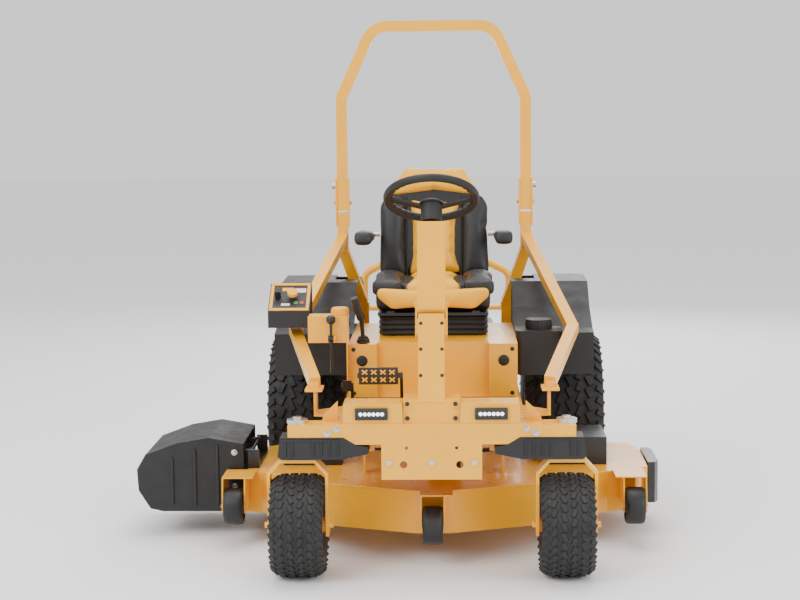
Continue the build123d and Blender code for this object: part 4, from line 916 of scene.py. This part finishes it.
@dataclass
class Seat:
    """Cushion, backrest, armrests and the bellows beneath.

    Sizes are in millimetres, in the machine's own frame.
    """

    pivot_y: float = 1042.0
    pivot_z: float = 842.0
    lean: float = 8.0
    back_half: float = 209.0
    panel_half: float = 100.0
    cushion_half: float = 222.0

    def build(self) -> None:
        """Builds the seat from the bellows up."""
        self.bellows()
        self.cushion()
        self.backrest()
        self.armrests()

    def back_frame(self, forward: float) -> Matrix:
        """Gives the backrest's own frame: across, up the backrest, and towards the front.

        Args:
            forward: how far in front of the pivot, in metres.

        Returns:
            The matrix into the row frame.
        """
        lean = math.radians(self.lean)
        up = Vector((0.0, math.sin(lean), math.cos(lean)))
        front = Vector((0.0, -math.cos(lean), math.sin(lean)))
        origin = Vector(at(0.0, self.pivot_y, self.pivot_z)) + front * forward
        return Shapes.frame_at(tuple(origin), Vector((1.0, 0.0, 0.0)), up)

    def pad(
        self,
        name: str,
        outline: Sequence[tuple[float, float]],
        depth: float,
        place: Matrix,
        finish: Finish,
        body: str,
        cap: float = 0.016,
        stands_for: Sequence[str] = (),
    ) -> bpy.types.Object:
        """Makes one stuffed piece of the seat.

        Args:
            name: name of the piece.
            outline: its corners in millimetres.
            depth: its thickness in millimetres.
            place: its own frame.
            finish: its cover.
            body: the body that it rides on.
            cap: the furthest that the cover may crown, in metres.
            stands_for: the nodes that it stands for.

        Returns:
            The piece.
        """
        corners = [(a / 1000, b / 1000) for a, b in outline]
        obj = Shapes.plate(name, corners, depth / 1000, place, edge=min(depth / 3, 14.0) / 1000, steps=3)
        Shapes.stuffed(obj, cap=cap)
        Workbench.finish(obj, finish, body, "seat_vinyl", smooth=80.0, stands_for=stands_for)
        return obj

    def cushion(self) -> None:
        """Builds the black cushion, its yellow centre and its yellow front roll."""
        across = Vector((1.0, 0.0, 0.0))
        half = self.cushion_half
        flat = Shapes.frame_at(at(0.0, 0.0, 787.0), across, Vector((0.0, 1.0, 0.0)))
        base = [(-half + 4, 590), (half - 4, 590), (half, 700), (half - 6, 980), (-half + 6, 980), (-half, 700)]
        self.pad("seat_cushion_base", base, 76, flat, BLACK_VINYL, "seat", stands_for=("seat_cushion",))
        top = Shapes.frame_at(at(0.0, 0.0, 838.0), across, Vector((0.0, 1.0, 0.0)))
        centre = self.panel_half
        self.pad(
            "seat_cushion_centre", [(-centre, 590), (centre, 590), (centre, 960), (-centre, 960)], 40, top,
            YELLOW_VINYL, "seat",
        )
        for side, label in ((-1, "right"), (1, "left")):
            inner, outer = side * (centre + 4), side * (half - 4)
            bolster = [(inner, 592), (outer, 600), (outer, 950), (inner, 955)]
            self.pad(f"seat_cushion_bolster_{label}", bolster, 52, top, BLACK_VINYL, "seat")
        front = Shapes.frame_at(at(0.0, 600.0, 0.0), across, Vector((0.0, 0.0, 1.0)))
        roll = [(-150, 790), (150, 790), (half - 16, 838), (half - 22, 868), (-half + 22, 868), (-half + 16, 838)]
        self.pad("seat_cushion_front", roll, 36, front, YELLOW_VINYL, "seat", cap=0.012)
        for number, x in enumerate((-centre - 2, centre + 2)):
            line = [at(x, 596, 872), at(x, 700, 876), at(x, 850, 876), at(x, 950, 872)]
            piping = Workbench.tube(f"seat_cushion_piping_{number + 1}", line, 0.0032)
            Workbench.finish(piping, BLACK_GRIP, "seat", "seat_vinyl", smooth=60)

    def backrest(self) -> None:
        """Builds the black shell of the backrest and its yellow and black pads."""
        half = self.back_half
        shell = [(-half, -8), (half, -8), (half, 300), (half - 44, 378), (half - 98, 436)]
        shell += [(-half + 98, 436), (-half + 44, 378), (-half, 300)]
        names = ("seat_backrest",)
        self.pad("seat_backrest_shell", shell, 66, self.back_frame(-0.042), BLACK_VINYL, "backrest", stands_for=names)
        front = self.back_frame(0.012)
        centre = self.panel_half
        middle = [(-centre, 12), (centre, 12), (centre, 318), (-centre, 318)]
        self.pad("seat_backrest_centre", middle, 32, front, YELLOW_VINYL, "backrest")
        for side, label in ((-1, "right"), (1, "left")):
            bolster = [(side * (centre + 4), 14), (side * (half - 4), 20), (side * (half - 6), 290)]
            bolster += [(side * (half - 34), 330), (side * (centre + 4), 318)]
            self.pad(f"seat_backrest_bolster_{label}", bolster, 50, front, BLACK_VINYL, "backrest")
        head = [
            (-half + 46, 326), (half - 46, 326), (half - 52, 366), (half - 100, 430), (-half + 100, 430),
            (-half + 52, 366),
        ]
        self.pad("seat_headrest", head, 38, front, YELLOW_VINYL, "backrest")
        place = self.back_frame(0.040)
        for side, label in ((-1, "right"), (1, "left")):
            across = side * (centre + 2) / 1000
            line = [tuple(place @ Vector((across, up, 0.0))) for up in (0.016, 0.12, 0.22, 0.316)]
            piping = Workbench.tube(f"seat_backrest_piping_{label}", line, 0.0032)
            Workbench.finish(piping, BLACK_GRIP, "backrest", "seat_vinyl", smooth=60)
        for side, label in ((-1, "right"), (1, "left")):
            pin = Workbench.turned(
                f"armrest_pin_{label}", [(0.0, 0.0), (0.009, 0.0), (0.009, 0.078), (0.006, 0.081), (0.0, 0.081)],
                at(0, 0, 0), "Z", 20,
            )
            pin.data.transform(
                Matrix.Translation(at(side * 203, 1060, 1020)) @ Matrix.Rotation(side * math.pi / 2, 4, "Y")
                @ Matrix.Translation(-Vector(at(0, 0, 0)))
            )
            Workbench.close(pin)
            Workbench.finish(pin, ZINC, "backrest", "zinc")

    def armrests(self) -> None:
        """Covers each armrest with a soft pad."""
        for side, label in ((-1, "right"), (1, "left")):
            place = Shapes.frame_at(at(side * 256 - 33, 0, 0), Vector((0.0, 1.0, 0.0)), Vector((0.0, 0.0, 1.0)))
            outline = [(792, 1000), (1078, 992), (1082, 1032), (812, 1050), (793, 1040)]
            self.pad(
                f"armrest_pad_{label}", outline, 66, place, BLACK_VINYL, f"arm_{label}", cap=0.008,
                stands_for=(f"armrest_{label}",),
            )

    def bellows(self) -> None:
        """Builds the folded boot between the seat box and the seat."""
        low, high, folds = 0.6945, 0.7672, 4
        centre = Vector(at(0.0, 765.0, 0.0))
        Workbench.clear()
        bpy.ops.mesh.primitive_plane_add(size=1.0, location=(centre.x, centre.y, low))
        obj = bpy.context.object
        obj.name = "seat_bellows"
        obj.scale = (0.366, 0.306, 1.0)
        bpy.ops.object.transform_apply(location=True, rotation=True, scale=True)
        Workbench.edit(obj, lambda: bpy.ops.mesh.bevel(offset=0.03, segments=4, affect="VERTICES"))
        step = (high - low) / (folds * 2)

        def raise_folds() -> None:
            """Extrudes one fold after another, wide and narrow in turn."""
            for number in range(folds * 2):
                wide = 1.065 if number % 2 == 0 else 1 / 1.065
                bpy.ops.mesh.extrude_region_move(TRANSFORM_OT_translate={"value": (0.0, 0.0, step)})
                height = low + step * (number + 1)
                bpy.ops.transform.resize(value=(wide, wide, 1.0), center_override=(centre.x, centre.y, height))

        Workbench.edit(obj, raise_folds)
        Workbench.close(obj)
        Workbench.modify(obj, "BEVEL", width=0.0016, segments=2)
        Workbench.finish(obj, BLACK_GRIP, "", "black_rubber_plastic", smooth=50, stands_for=("seat_suspension",))
        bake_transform(obj)


# ----------------------------------------------------------------- wheels


@dataclass
class TurfTyre:
    """A turf tyre with rows of slanted, staggered tread bars.

    Sizes are in millimetres.
    """

    name: str
    body: str
    centre: tuple[float, float, float]
    radius: float
    width: float
    rim: float
    rows: int
    bars: int
    bar_length: float
    bar_width: float
    tread: float

    def profile(self) -> list[tuple[float, float]]:
        """Gives the carcass's section as (radius, across) in metres, a closed loop."""
        base, half = self.radius - self.tread, self.width / 2
        side = (base - self.rim) / 100
        half_loop = [
            (base, 0.0), (base - 0.4, half * 0.45), (base - 2.5, half * 0.70), (base - 7.0, half * 0.86),
            (base - 15.0, half * 0.955), (base - 28.0, half * 0.995), (self.rim + side * 45, half),
            (
                self.rim + side * 25, half * 0.975,
            ), (self.rim + side * 16, half * 0.93), (self.rim + side * 14, half * 0.95),
            (self.rim + side * 6, half * 0.90), (self.rim + 1.0, half * 0.80), (self.rim + 0.5, half * 0.72),
            (self.rim + 8.0, half * 0.66), (self.rim + 12.0, 0.0),
        ]
        mirrored = [(radius, -across) for radius, across in reversed(half_loop[1:-1])]
        loop = half_loop + mirrored + [half_loop[0]]
        return [(radius / 1000, across / 1000) for radius, across in loop]

    def bar(self, across: float, slant: float, turn: float, drop: float, tilt: float) -> Matrix:
        """Gives the place of one tread bar.

        Args:
            across: its distance from the middle, in millimetres.
            slant: its angle to the way round, in degrees.
            turn: its angle round the tyre, in radians.
            drop: how far it sits below the crown, in millimetres.
            tilt: how far it leans over the shoulder, in degrees.

        Returns:
            The matrix that places a bar made at the origin.
        """
        reach = (self.radius - (self.tread + 3.0) / 2 - 1.0 - drop) / 1000
        return (
            Matrix.Translation(at(*self.centre))
            @ Matrix.Rotation(turn, 4, "X")
            @ Matrix.Translation((across / 1000, 0.0, reach))
            @ Matrix.Rotation(math.radians(tilt), 4, "Y")
            @ Matrix.Rotation(math.radians(slant), 4, "Z")
        )

    def build(self) -> None:
        """Builds the carcass and its tread and joins them."""
        carcass = Workbench.turned(f"{self.name}_turf", self.profile(), at(*self.centre), "X", 72)
        size = (self.bar_width / 1000, self.bar_length / 1000, (self.tread + 3.0) / 1000)
        bar = Workbench.block("bar", (0.0, 0.0, 0.0), size, 0.0016, 1)
        moves = []
        pitch = 2 * math.pi / self.bars
        inner = self.width * 0.74 / self.rows
        for row in range(self.rows):
            across = (row - (self.rows - 1) / 2) * inner
            slant = 24.0 if row % 2 else -24.0
            drop = 1.2 * (2 * across / self.width) ** 2 * 3
            moves += [
                self.bar(across, slant, pitch * (n + 0.5 * (row % 2)), drop, across * 0.06)
                for n in range(self.bars)
            ]
        for side in (-1, 1):
            edge = side * self.width * 0.445
            moves += [self.bar(edge, side * 62.0, pitch * (n + 0.25), 12.0, side * 38.0) for n in range(self.bars)]
        Workbench.copied(bar, moves, keep=False)
        tyre = Workbench.joined(f"{self.name}_turf", [carcass, bar])
        Workbench.finish(tyre, TYRE_RUBBER, self.body, "tyre", smooth=38, stands_for=(self.name,))


@dataclass
class Wheels:
    """The four turf tyres and the three gauge wheels."""

    def build(self) -> None:
        """Builds the tyres on both sides."""
        for side, label in ((-1, "right"), (1, "left")):
            TurfTyre(
                f"front_tyre_{label}", f"front_wheel_{label}", (side * 428.0, 0.0, 167.0),
                167.0, 168.0, 76.0, 4, 34, 27.0, 15.5, 6.0,
            ).build()
            TurfTyre(
                f"rear_tyre_{label}", f"rear_wheel_{label}", (side * 491.0, 1290.0, 305.0),
                305.0, 298.0, 152.0, 6, 40, 40.0, 22.0, 9.0,
            ).build()
        for x, y, label in ((-685, 365, "right"), (0, 96, "centre"), (685, 365, "left")):
            self.gauge_wheel(x, y, label)

    def gauge_wheel(self, x: float, y: float, label: str) -> None:
        """Builds one smooth gauge wheel with a ribbed hub.

        Args:
            x: its distance from the midline.
            y: its distance behind the front axle.
            label: which of the three it is.
        """
        section = [(12, 0), (14, 32), (24, 33), (26, 26), (44, 26), (47, 32), (56, 32.5), (61, 28), (63, 20), (63, 0)]
        whole = [(r, a) for r, a in section] + [(r, -a) for r, a in reversed(section[:-1])]
        whole = [(r / 1000, a / 1000) for r, a in whole[1:]] + [(section[1][0] / 1000, section[1][1] / 1000)]
        wheel = Workbench.turned(f"gauge_roller_{label}", whole, at(x, y, 140), "X", 44)
        rib = Workbench.block("rib", (0, 0, 0), (0.058, 0.004, 0.022), 0.0008, 1)
        moves = [
            Matrix.Translation(at(x, y, 140)) @ Matrix.Rotation(
                n * math.pi / 4, 4, "X",
            ) @ Matrix.Translation((0, 0, 0.0345))
            for n in range(8)
        ]
        Workbench.copied(rib, moves, keep=False)
        wheel = Workbench.joined(f"gauge_roller_{label}", [wheel, rib])
        names = (f"gauge_wheel_{label}",)
        Workbench.finish(wheel, BLACK_PLASTIC, f"gauge_{label}", "black_plastic", smooth=40, stands_for=names)


# --------------------------------------------------------------- fittings

RIGHTWARD = Vector((1.0, 0.0, 0.0))
UPWARD = Vector((0.0, 0.0, 1.0))
FORWARD = Vector((0.0, -1.0, 0.0))
BOTH_SIDES = ((-1, "right"), (1, "left"))


@dataclass
class SteeringWheelTrim:
    """Finger bumps and hub cap of the steering wheel, in millimetres."""

    joint: tuple[float, float] = (156.8, 815.0)
    lean: float = 30.0
    rim_up: float = 435.0
    grip_radius: float = 137.5
    bumps: int = 30

    def spot(self, up: float) -> Matrix:
        """Gives the frame across the column at a height along it.

        Args:
            up: distance along the column from its joint.

        Returns:
            The matrix whose third axis points along the column.
        """
        lean = math.radians(self.lean)
        axis = Vector((0.0, math.sin(lean), math.cos(lean)))
        origin = Vector(at(0.0, *self.joint)) + axis * (up / 1000)
        return Shapes.frame_at(tuple(origin), RIGHTWARD, axis.cross(RIGHTWARD))

    def build(self) -> None:
        """Builds the bumps round the rim, then the hub cap."""
        Workbench.clear()
        bpy.ops.mesh.primitive_uv_sphere_add(segments=10, ring_count=6, radius=0.0095)
        bump = bpy.context.object
        bump.scale = (0.75, 1.15, 0.9)
        bpy.ops.object.transform_apply(location=True, rotation=True, scale=True)
        moves = []
        for number in range(self.bumps):
            turn = 2 * math.pi * number / self.bumps
            moves.append(
                self.spot(self.rim_up) @ Matrix.Rotation(turn, 4, "Z") @ Matrix.Translation(
                    (self.grip_radius / 1000, 0, 0)
                )
            )
        Workbench.copied(bump, moves, keep=False)
        bump.name = "steering_wheel_grips"
        Workbench.finish(bump, BLACK_GRIP, "hand_wheel", "black_rubber_plastic", smooth=60)
        cap = Workbench.turned(
            "steering_wheel_cap",
            [
                (0, 0), (0.041, 0), (0.042, 0.004), (0.040, 0.009), (0.030, 0.013), (0.028, 0.0118), (0.014, 0.0145),
                (0, 0.015),
            ],
            (0, 0, 0), "Z", 36,
        )
        cap.data.transform(self.spot(408))
        Workbench.close(cap)
        Workbench.finish(cap, BLACK_PLASTIC, "hand_wheel", "black_plastic")


@dataclass
class Controls:
    """Trim of the console, the dial, the cap and the pedal, in millimetres."""

    panel: tuple[float, float, float] = (-497.5, 539.0, 842.0)
    rise: tuple[float, float] = (122.0, 84.0)

    def build(self) -> None:
        """Builds the trim of each control."""
        self.console()
        self.dial()
        self.fuel_cap()
        self.pedal()
        self.lever_boot()

    def console(self) -> None:
        """Frames the sloping panel in yellow and lays its coloured plates."""
        slope = Vector((0.0, *self.rise))
        face = Shapes.frame_at(at(*self.panel), RIGHTWARD, slope)
        half_w, half_h, bar = 0.0690, 0.0715, 0.0055
        bars = []
        for x, y, w, h in (
            (0, half_h - bar, half_w, bar), (0, bar - half_h, half_w, bar),
            (half_w - bar, 0, bar, half_h - bar), (bar - half_w, 0, bar, half_h - bar),
        ):
            bars.append(Workbench.block("bar", (x, y, 0.001), (w * 2, h * 2, 0.006), 0.0014, 2))
        trim = Workbench.joined("console_trim", bars)
        trim.data.transform(face)
        Workbench.finish(trim, YELLOW_PLASTIC, "chassis", "yellow_plastic")
        plates = (
            ("console_plate_white", WHITE_MARK, (0.036, 0.034), (0.036, 0.022)),
            ("console_plate_yellow", YELLOW_PLASTIC, (-0.010, 0.040), (0.040, 0.018)),
            ("console_plate_red", RED_MARK, (0.042, -0.030), (0.014, 0.014)),
            ("console_plate_green", GREEN_MARK, (0.022, -0.030), (0.014, 0.014)),
            ("console_plate_pale", WHITE_MARK, (-0.014, -0.040), (0.030, 0.012)),
        )
        for name, finish, (x, y), (w, h) in plates:
            plate = Workbench.block(name, (x, y, 0.0005), (w, h, 0.0022), 0.0006, 2)
            plate.data.transform(face)
            Workbench.finish(plate, finish, "chassis", "black_plastic")

    def ribs(
        self, name: str, centre: Point, radius: float, height: float, count: int, width: float,
    ) -> bpy.types.Object:
        """Makes a ring of upright ribs.

        Args:
            name: name of the piece.
            centre: the foot of the ring's axis.
            radius: radius of the ring, in metres.
            height: height of a rib, in metres.
            count: number of ribs.
            width: width of a rib, in metres.

        Returns:
            The object.
        """
        rib = Workbench.block(name, (0, 0, height / 2), (0.004, width, height), width * 0.3, 2)
        moves = [
            Matrix.Translation(centre) @ Matrix.Rotation(
                2 * math.pi * n / count, 4, "Z",
            ) @ Matrix.Translation((radius, 0, 0))
            for n in range(count)
        ]
        return Workbench.copied(rib, moves, keep=False)

    def dial(self) -> None:
        """Ribs the cutting-height dial."""
        ring = self.ribs("height_dial_ribs", at(-318, 452, 790.6), 0.0295, 0.017, 20, 0.0042)
        Workbench.finish(ring, YELLOW_PLASTIC, "height_dial_body", "yellow_plastic")

    def fuel_cap(self) -> None:
        """Ribs the fuel cap."""
        low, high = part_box("fuel_cap")
        centre = ((low[0] + high[0]) / 2, (low[1] + high[1]) / 2, high[2] - 0.030)
        ring = self.ribs("fuel_cap_ribs", centre, (high[0] - low[0]) / 2 - 0.0006, 0.024, 28, 0.0048)
        Workbench.finish(ring, BLACK_PLASTIC, "fuel_cap_body", "black_plastic")

    def pedal(self) -> None:
        """Sets two rows of yellow crosses on the forward pedal."""
        low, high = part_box("forward_pedal")
        points = [vertex.co for vertex in frame["nodes"]["forward_pedal"].data.vertices]
        top = min(p.y for p in points if p.z > high[2] - 0.008)
        foot_z = at(0, 0, 608)[2]
        foot = min(p.y for p in points if abs(p.z - foot_z) < 0.006)
        slope = Vector((0.0, top - foot, high[2] - foot_z))
        left, right = at(-235, 0, 0)[0], at(-108, 0, 0)[0]
        middle = ((left + right) / 2, (top + foot) / 2, (high[2] + foot_z) / 2)
        face = Shapes.frame_at(middle, RIGHTWARD, slope)
        stroke = Workbench.block("pedal_crosses", (0, 0, 0.0008), (0.022, 0.0045, 0.0036), 0.0008, 2)
        moves = []
        for row in (-0.5, 0.5):
            for column in (-1.5, -0.5, 0.5, 1.5):
                spot = face @ Matrix.Translation((column * 0.0295, row * 0.026, 0.0))
                moves += [spot @ Matrix.Rotation(math.radians(angle), 4, "Z") for angle in (40, -40)]
        Workbench.copied(stroke, moves, keep=False)
        Workbench.finish(stroke, YELLOW_PLASTIC, "forward_pedal_body", "yellow_plastic")

    def lever_boot(self) -> None:
        """Sets a rubber boot at the foot of the deck lift lever."""
        section = [
            (0.006, 0.0), (0.024, 0.0), (0.021, 0.006), (0.023, 0.009), (0.017, 0.014), (0.018, 0.018),
            (0.006, 0.024),
        ]
        boot = Workbench.turned("lift_lever_boot", section + [section[0]], at(-241, 482, 691.0), "Z", 28)
        Workbench.finish(boot, BLACK_GRIP, "chassis", "black_rubber_plastic")


@dataclass
class Fittings:
    """Lamps, plugs, screws, mats, ribs and weld seams of the fixed frame and the deck."""

    lamp_x: float = 189.0
    lens_steps: tuple[float, ...] = (-34.0, -20.4, -6.8, 6.8, 20.4, 34.0)

    def build(self) -> None:
        """Builds the fittings from the front of the machine to the back."""
        self.lamps()
        self.plugs()
        self.screws()
        self.mats()
        self.cover_ribs()
        self.weld_seams()
        self.chute_ribs()

    def lamps(self) -> None:
        """Sets a row of bright lenses in each lamp."""
        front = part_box("headlights")[0][1]
        for side, label in BOTH_SIDES:
            section = [(0.0, 0.0), (0.0056, 0.0), (0.0060, 0.0012), (0.0048, 0.0026), (0.0026, 0.0034), (0.0, 0.0036)]
            lens = Workbench.turned(f"lamp_lenses_{label}", section, (0, 0, 0), "Z", 16)
            moves = []
            for step in self.lens_steps:
                x, _, z = at(side * self.lamp_x + step, 0, 536)
                moves.append(
                    Matrix.Translation((x, front - 0.0002, z)) @ FORWARD.to_track_quat("Z", "Y").to_matrix().to_4x4()
                )
            Workbench.copied(lens, moves, keep=False)
            Workbench.close(lens)
            Workbench.finish(lens, LENS, "chassis", "lamp_housing")
            x, _, z = at(side * self.lamp_x, 0, 536)
            outer = Workbench.block(f"lamp_bezel_{label}", (x, front + 0.001, z), (0.104, 0.005, 0.038), 0.002, 2)
            Workbench.pick(outer, lambda face: face.normal.y < -0.9 and face.area > 0.001)
            bpy.ops.mesh.inset(thickness=0.0065, depth=-0.0022)
            bpy.ops.object.mode_set(mode="OBJECT")
            Workbench.finish(outer, LAMP_HOUSING, "chassis", "lamp_housing")

    def plugs(self) -> None:
        """Caps the tower holes with black plugs."""
        for side, label in BOTH_SIDES:
            section = [(0.0, 0.0), (0.0185, 0.0), (0.019, 0.0012), (0.0165, 0.0032), (0.0120, 0.0040), (0.0, 0.0042)]
            plug = Workbench.turned(f"tower_plug_{label}", section, (0, 0, 0), "Z", 28)
            plug.data.transform(
                Matrix.Translation(at(side * 243, 429.2, 633)) @ FORWARD.to_track_quat("Z", "Y").to_matrix().to_4x4()
            )
            Workbench.close(plug)
            Workbench.finish(plug, BLACK_PLASTIC, "chassis", "black_plastic")

    def screws(self) -> None:
        """Sets the screws of the column base, the column and the beam."""
        dark = [(x, -40.4, z) for x in (-76, 76) for z in (520, 566)] + [
            (x, 429.6, z)
            for x in (-272, 272) for z in (520, 672)
        ]
        self.bolts("platform_screws", dark, FORWARD, 0.0055, 0.0035, BLACK_PAINT, "black_paint")
        pale = [(side * 330, -50.4, 474) for side in (-1, 1)] + [(side * 300, -50.4, 488) for side in (-1, 1)]
        self.bolts("beam_bolts", pale, FORWARD, 0.0085, 0.006, ZINC, "zinc")
        floor = [(x, y, 504.2) for x in (-286, 286) for y in (80, 250, 410)]
        self.bolts("floor_bolts", floor, UPWARD, 0.0075, 0.005, ZINC, "zinc")
        lean = math.radians(30.0)
        column = Vector((0.0, -math.cos(lean), math.sin(lean)))
        along = Vector((0.0, math.sin(lean), math.cos(lean)))
        foot = Vector(at(0, 20, 578))
        for number, up in enumerate((60, 150, 240)):
            spots = [foot + along * (up / 1000) + column * 0.0353 + RIGHTWARD * (side * 0.034) for side in (-1, 1)]
            self.bolts_at(
                f"column_screws_{number + 1}", spots, column, 0.0045, 0.003, BLACK_PAINT, "chassis", "black_paint",
            )

    def bolts(
        self, name: str, places: Sequence[
            Point
        ], outward: Vector, radius: float, height: float, finish: Finish, slot: str
    ) -> None:
        """Sets bolts of one kind on the fixed frame.

        Args:
            name: name of the piece.
            places: their places in millimetres.
            outward: the way their heads point.
            radius: of a head, in metres.
            height: of a head, in metres.
            finish: their surface.
            slot: their material slot.
        """
        self.bolts_at(name, [Vector(at(*place)) for place in places], outward, radius, height, finish, "chassis", slot)

    def bolts_at(
        self,
        name: str,
        spots: Sequence[Vector],
        outward: Vector,
        radius: float,
        height: float,
        finish: Finish,
        body: str,
        slot: str,
    ) -> None:
        """Sets bolts of one kind at spots in the row frame.

        Args:
            name: name of the piece.
            spots: their places in metres.
            outward: the way their heads point.
            radius: of a head, in metres.
            height: of a head, in metres.
            finish: their surface.
            body: the body that they ride on.
            slot: their material slot.
        """
        bolt = Shapes.bolt(name, tuple(spots[0]), outward, radius, height)
        Workbench.copied(bolt, [Matrix.Translation(spot - spots[0]) for spot in spots[1:]])
        Workbench.finish(bolt, finish, body, slot)

    def mats(self) -> None:
        """Lays a ribbed mat on each side of the foot platform."""
        for side, label in BOTH_SIDES:
            base = Workbench.block("mat", at(side * 188, 245, 506.2), (0.184, 0.350, 0.0044), 0.0016, 2)
            rib = Workbench.block("mat_rib", at(side * 188, 90, 508.8), (0.168, 0.0065, 0.0032), 0.001, 1)
            Workbench.copied(rib, [Matrix.Translation((0, 0.0155 * n, 0)) for n in range(1, 21)])
            mat = Workbench.joined(f"floor_mat_{label}", [base, rib])
            Workbench.finish(mat, FLOOR_MAT, "chassis", "black_rubber_plastic")

    def cover_ribs(self) -> None:
        """Ribs the front of each moulded caster cover."""
        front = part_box("caster_covers")[0][1]
        for side, label in BOTH_SIDES:
            ribs = [
                Workbench.block(
                    "rib", (at(side * x, 0, 0)[0], front - 0.0008, 0.426), (0.006, 0.0075, 0.050), 0.0016, 2,
                )
                for x in (296, 322, 348, 374, 440, 462)
            ]
            rail = Workbench.block(
                "rail", (at(side * 382, 0, 0)[0], front - 0.0005, 0.4525), (0.184, 0.007, 0.006), 0.0018, 2,
            )
            piece = Workbench.joined(f"caster_cover_ribs_{label}", ribs + [rail])
            Workbench.finish(piece, BLACK_PLASTIC, "chassis", "black_plastic")

    def weld_seams(self) -> None:
        """Runs the weld along the deck's front edge."""
        for side, label in BOTH_SIDES:
            far = 600 if side > 0 else 598
            line = [
                at(side * x, y, 237.2)
                for x, y in ((64, 169.5), (200, 219.5), (350, 275.5), (475, 368.5), (far, 460.5))
            ]
            seam = Workbench.tube(f"deck_seam_{label}", line, 0.0034, smooth=False)
            Workbench.finish(seam, YELLOW_PAINT, "deck", "yellow_paint", smooth=60)

    def chute_ribs(self) -> None:
        """Stiffens the chute's front face with upright ribs and a bolt."""
        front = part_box("chute")[0][1]
        ribs = []
        for x, low, high in ((-760, 112, 326), (-840, 112, 312), (-920, 116, 284)):
            middle = at(x, 0, (low + high) / 2)
            ribs.append(
                Workbench.block(
                    "rib", (middle[0], front - 0.001, middle[2]), (0.010, 0.010, (high - low) / 1000), 0.003, 2,
                )
            )
        piece = Workbench.joined("chute_ribs", ribs)
        Workbench.finish(piece, BLACK_PLASTIC, "discharge_chute", "black_plastic")
        spots = [Vector((at(-700, 0, 0)[0], front - 0.0002, z / 1000)) for z in (180, 300)]
        self.bolts_at("chute_bolts", spots, FORWARD, 0.008, 0.005, ZINC, "discharge_chute", "zinc")


ASSEMBLIES: tuple[type, ...] = (Wheels, Seat, SteeringWheelTrim, Controls, Fittings)


# ------------------------------------------------------------------ main


def main() -> None:
    """Builds every sub-assembly in order."""
    logging.basicConfig(level=logging.INFO, format="%(name)s %(message)s")
    Workbench.clear()
    PackedFrame().dress()
    for assembly in ASSEMBLIES:
        assembly().build()
        log.info("%s built", assembly.__name__)
    Studio().build()


if __name__ == "__main__":
    main()
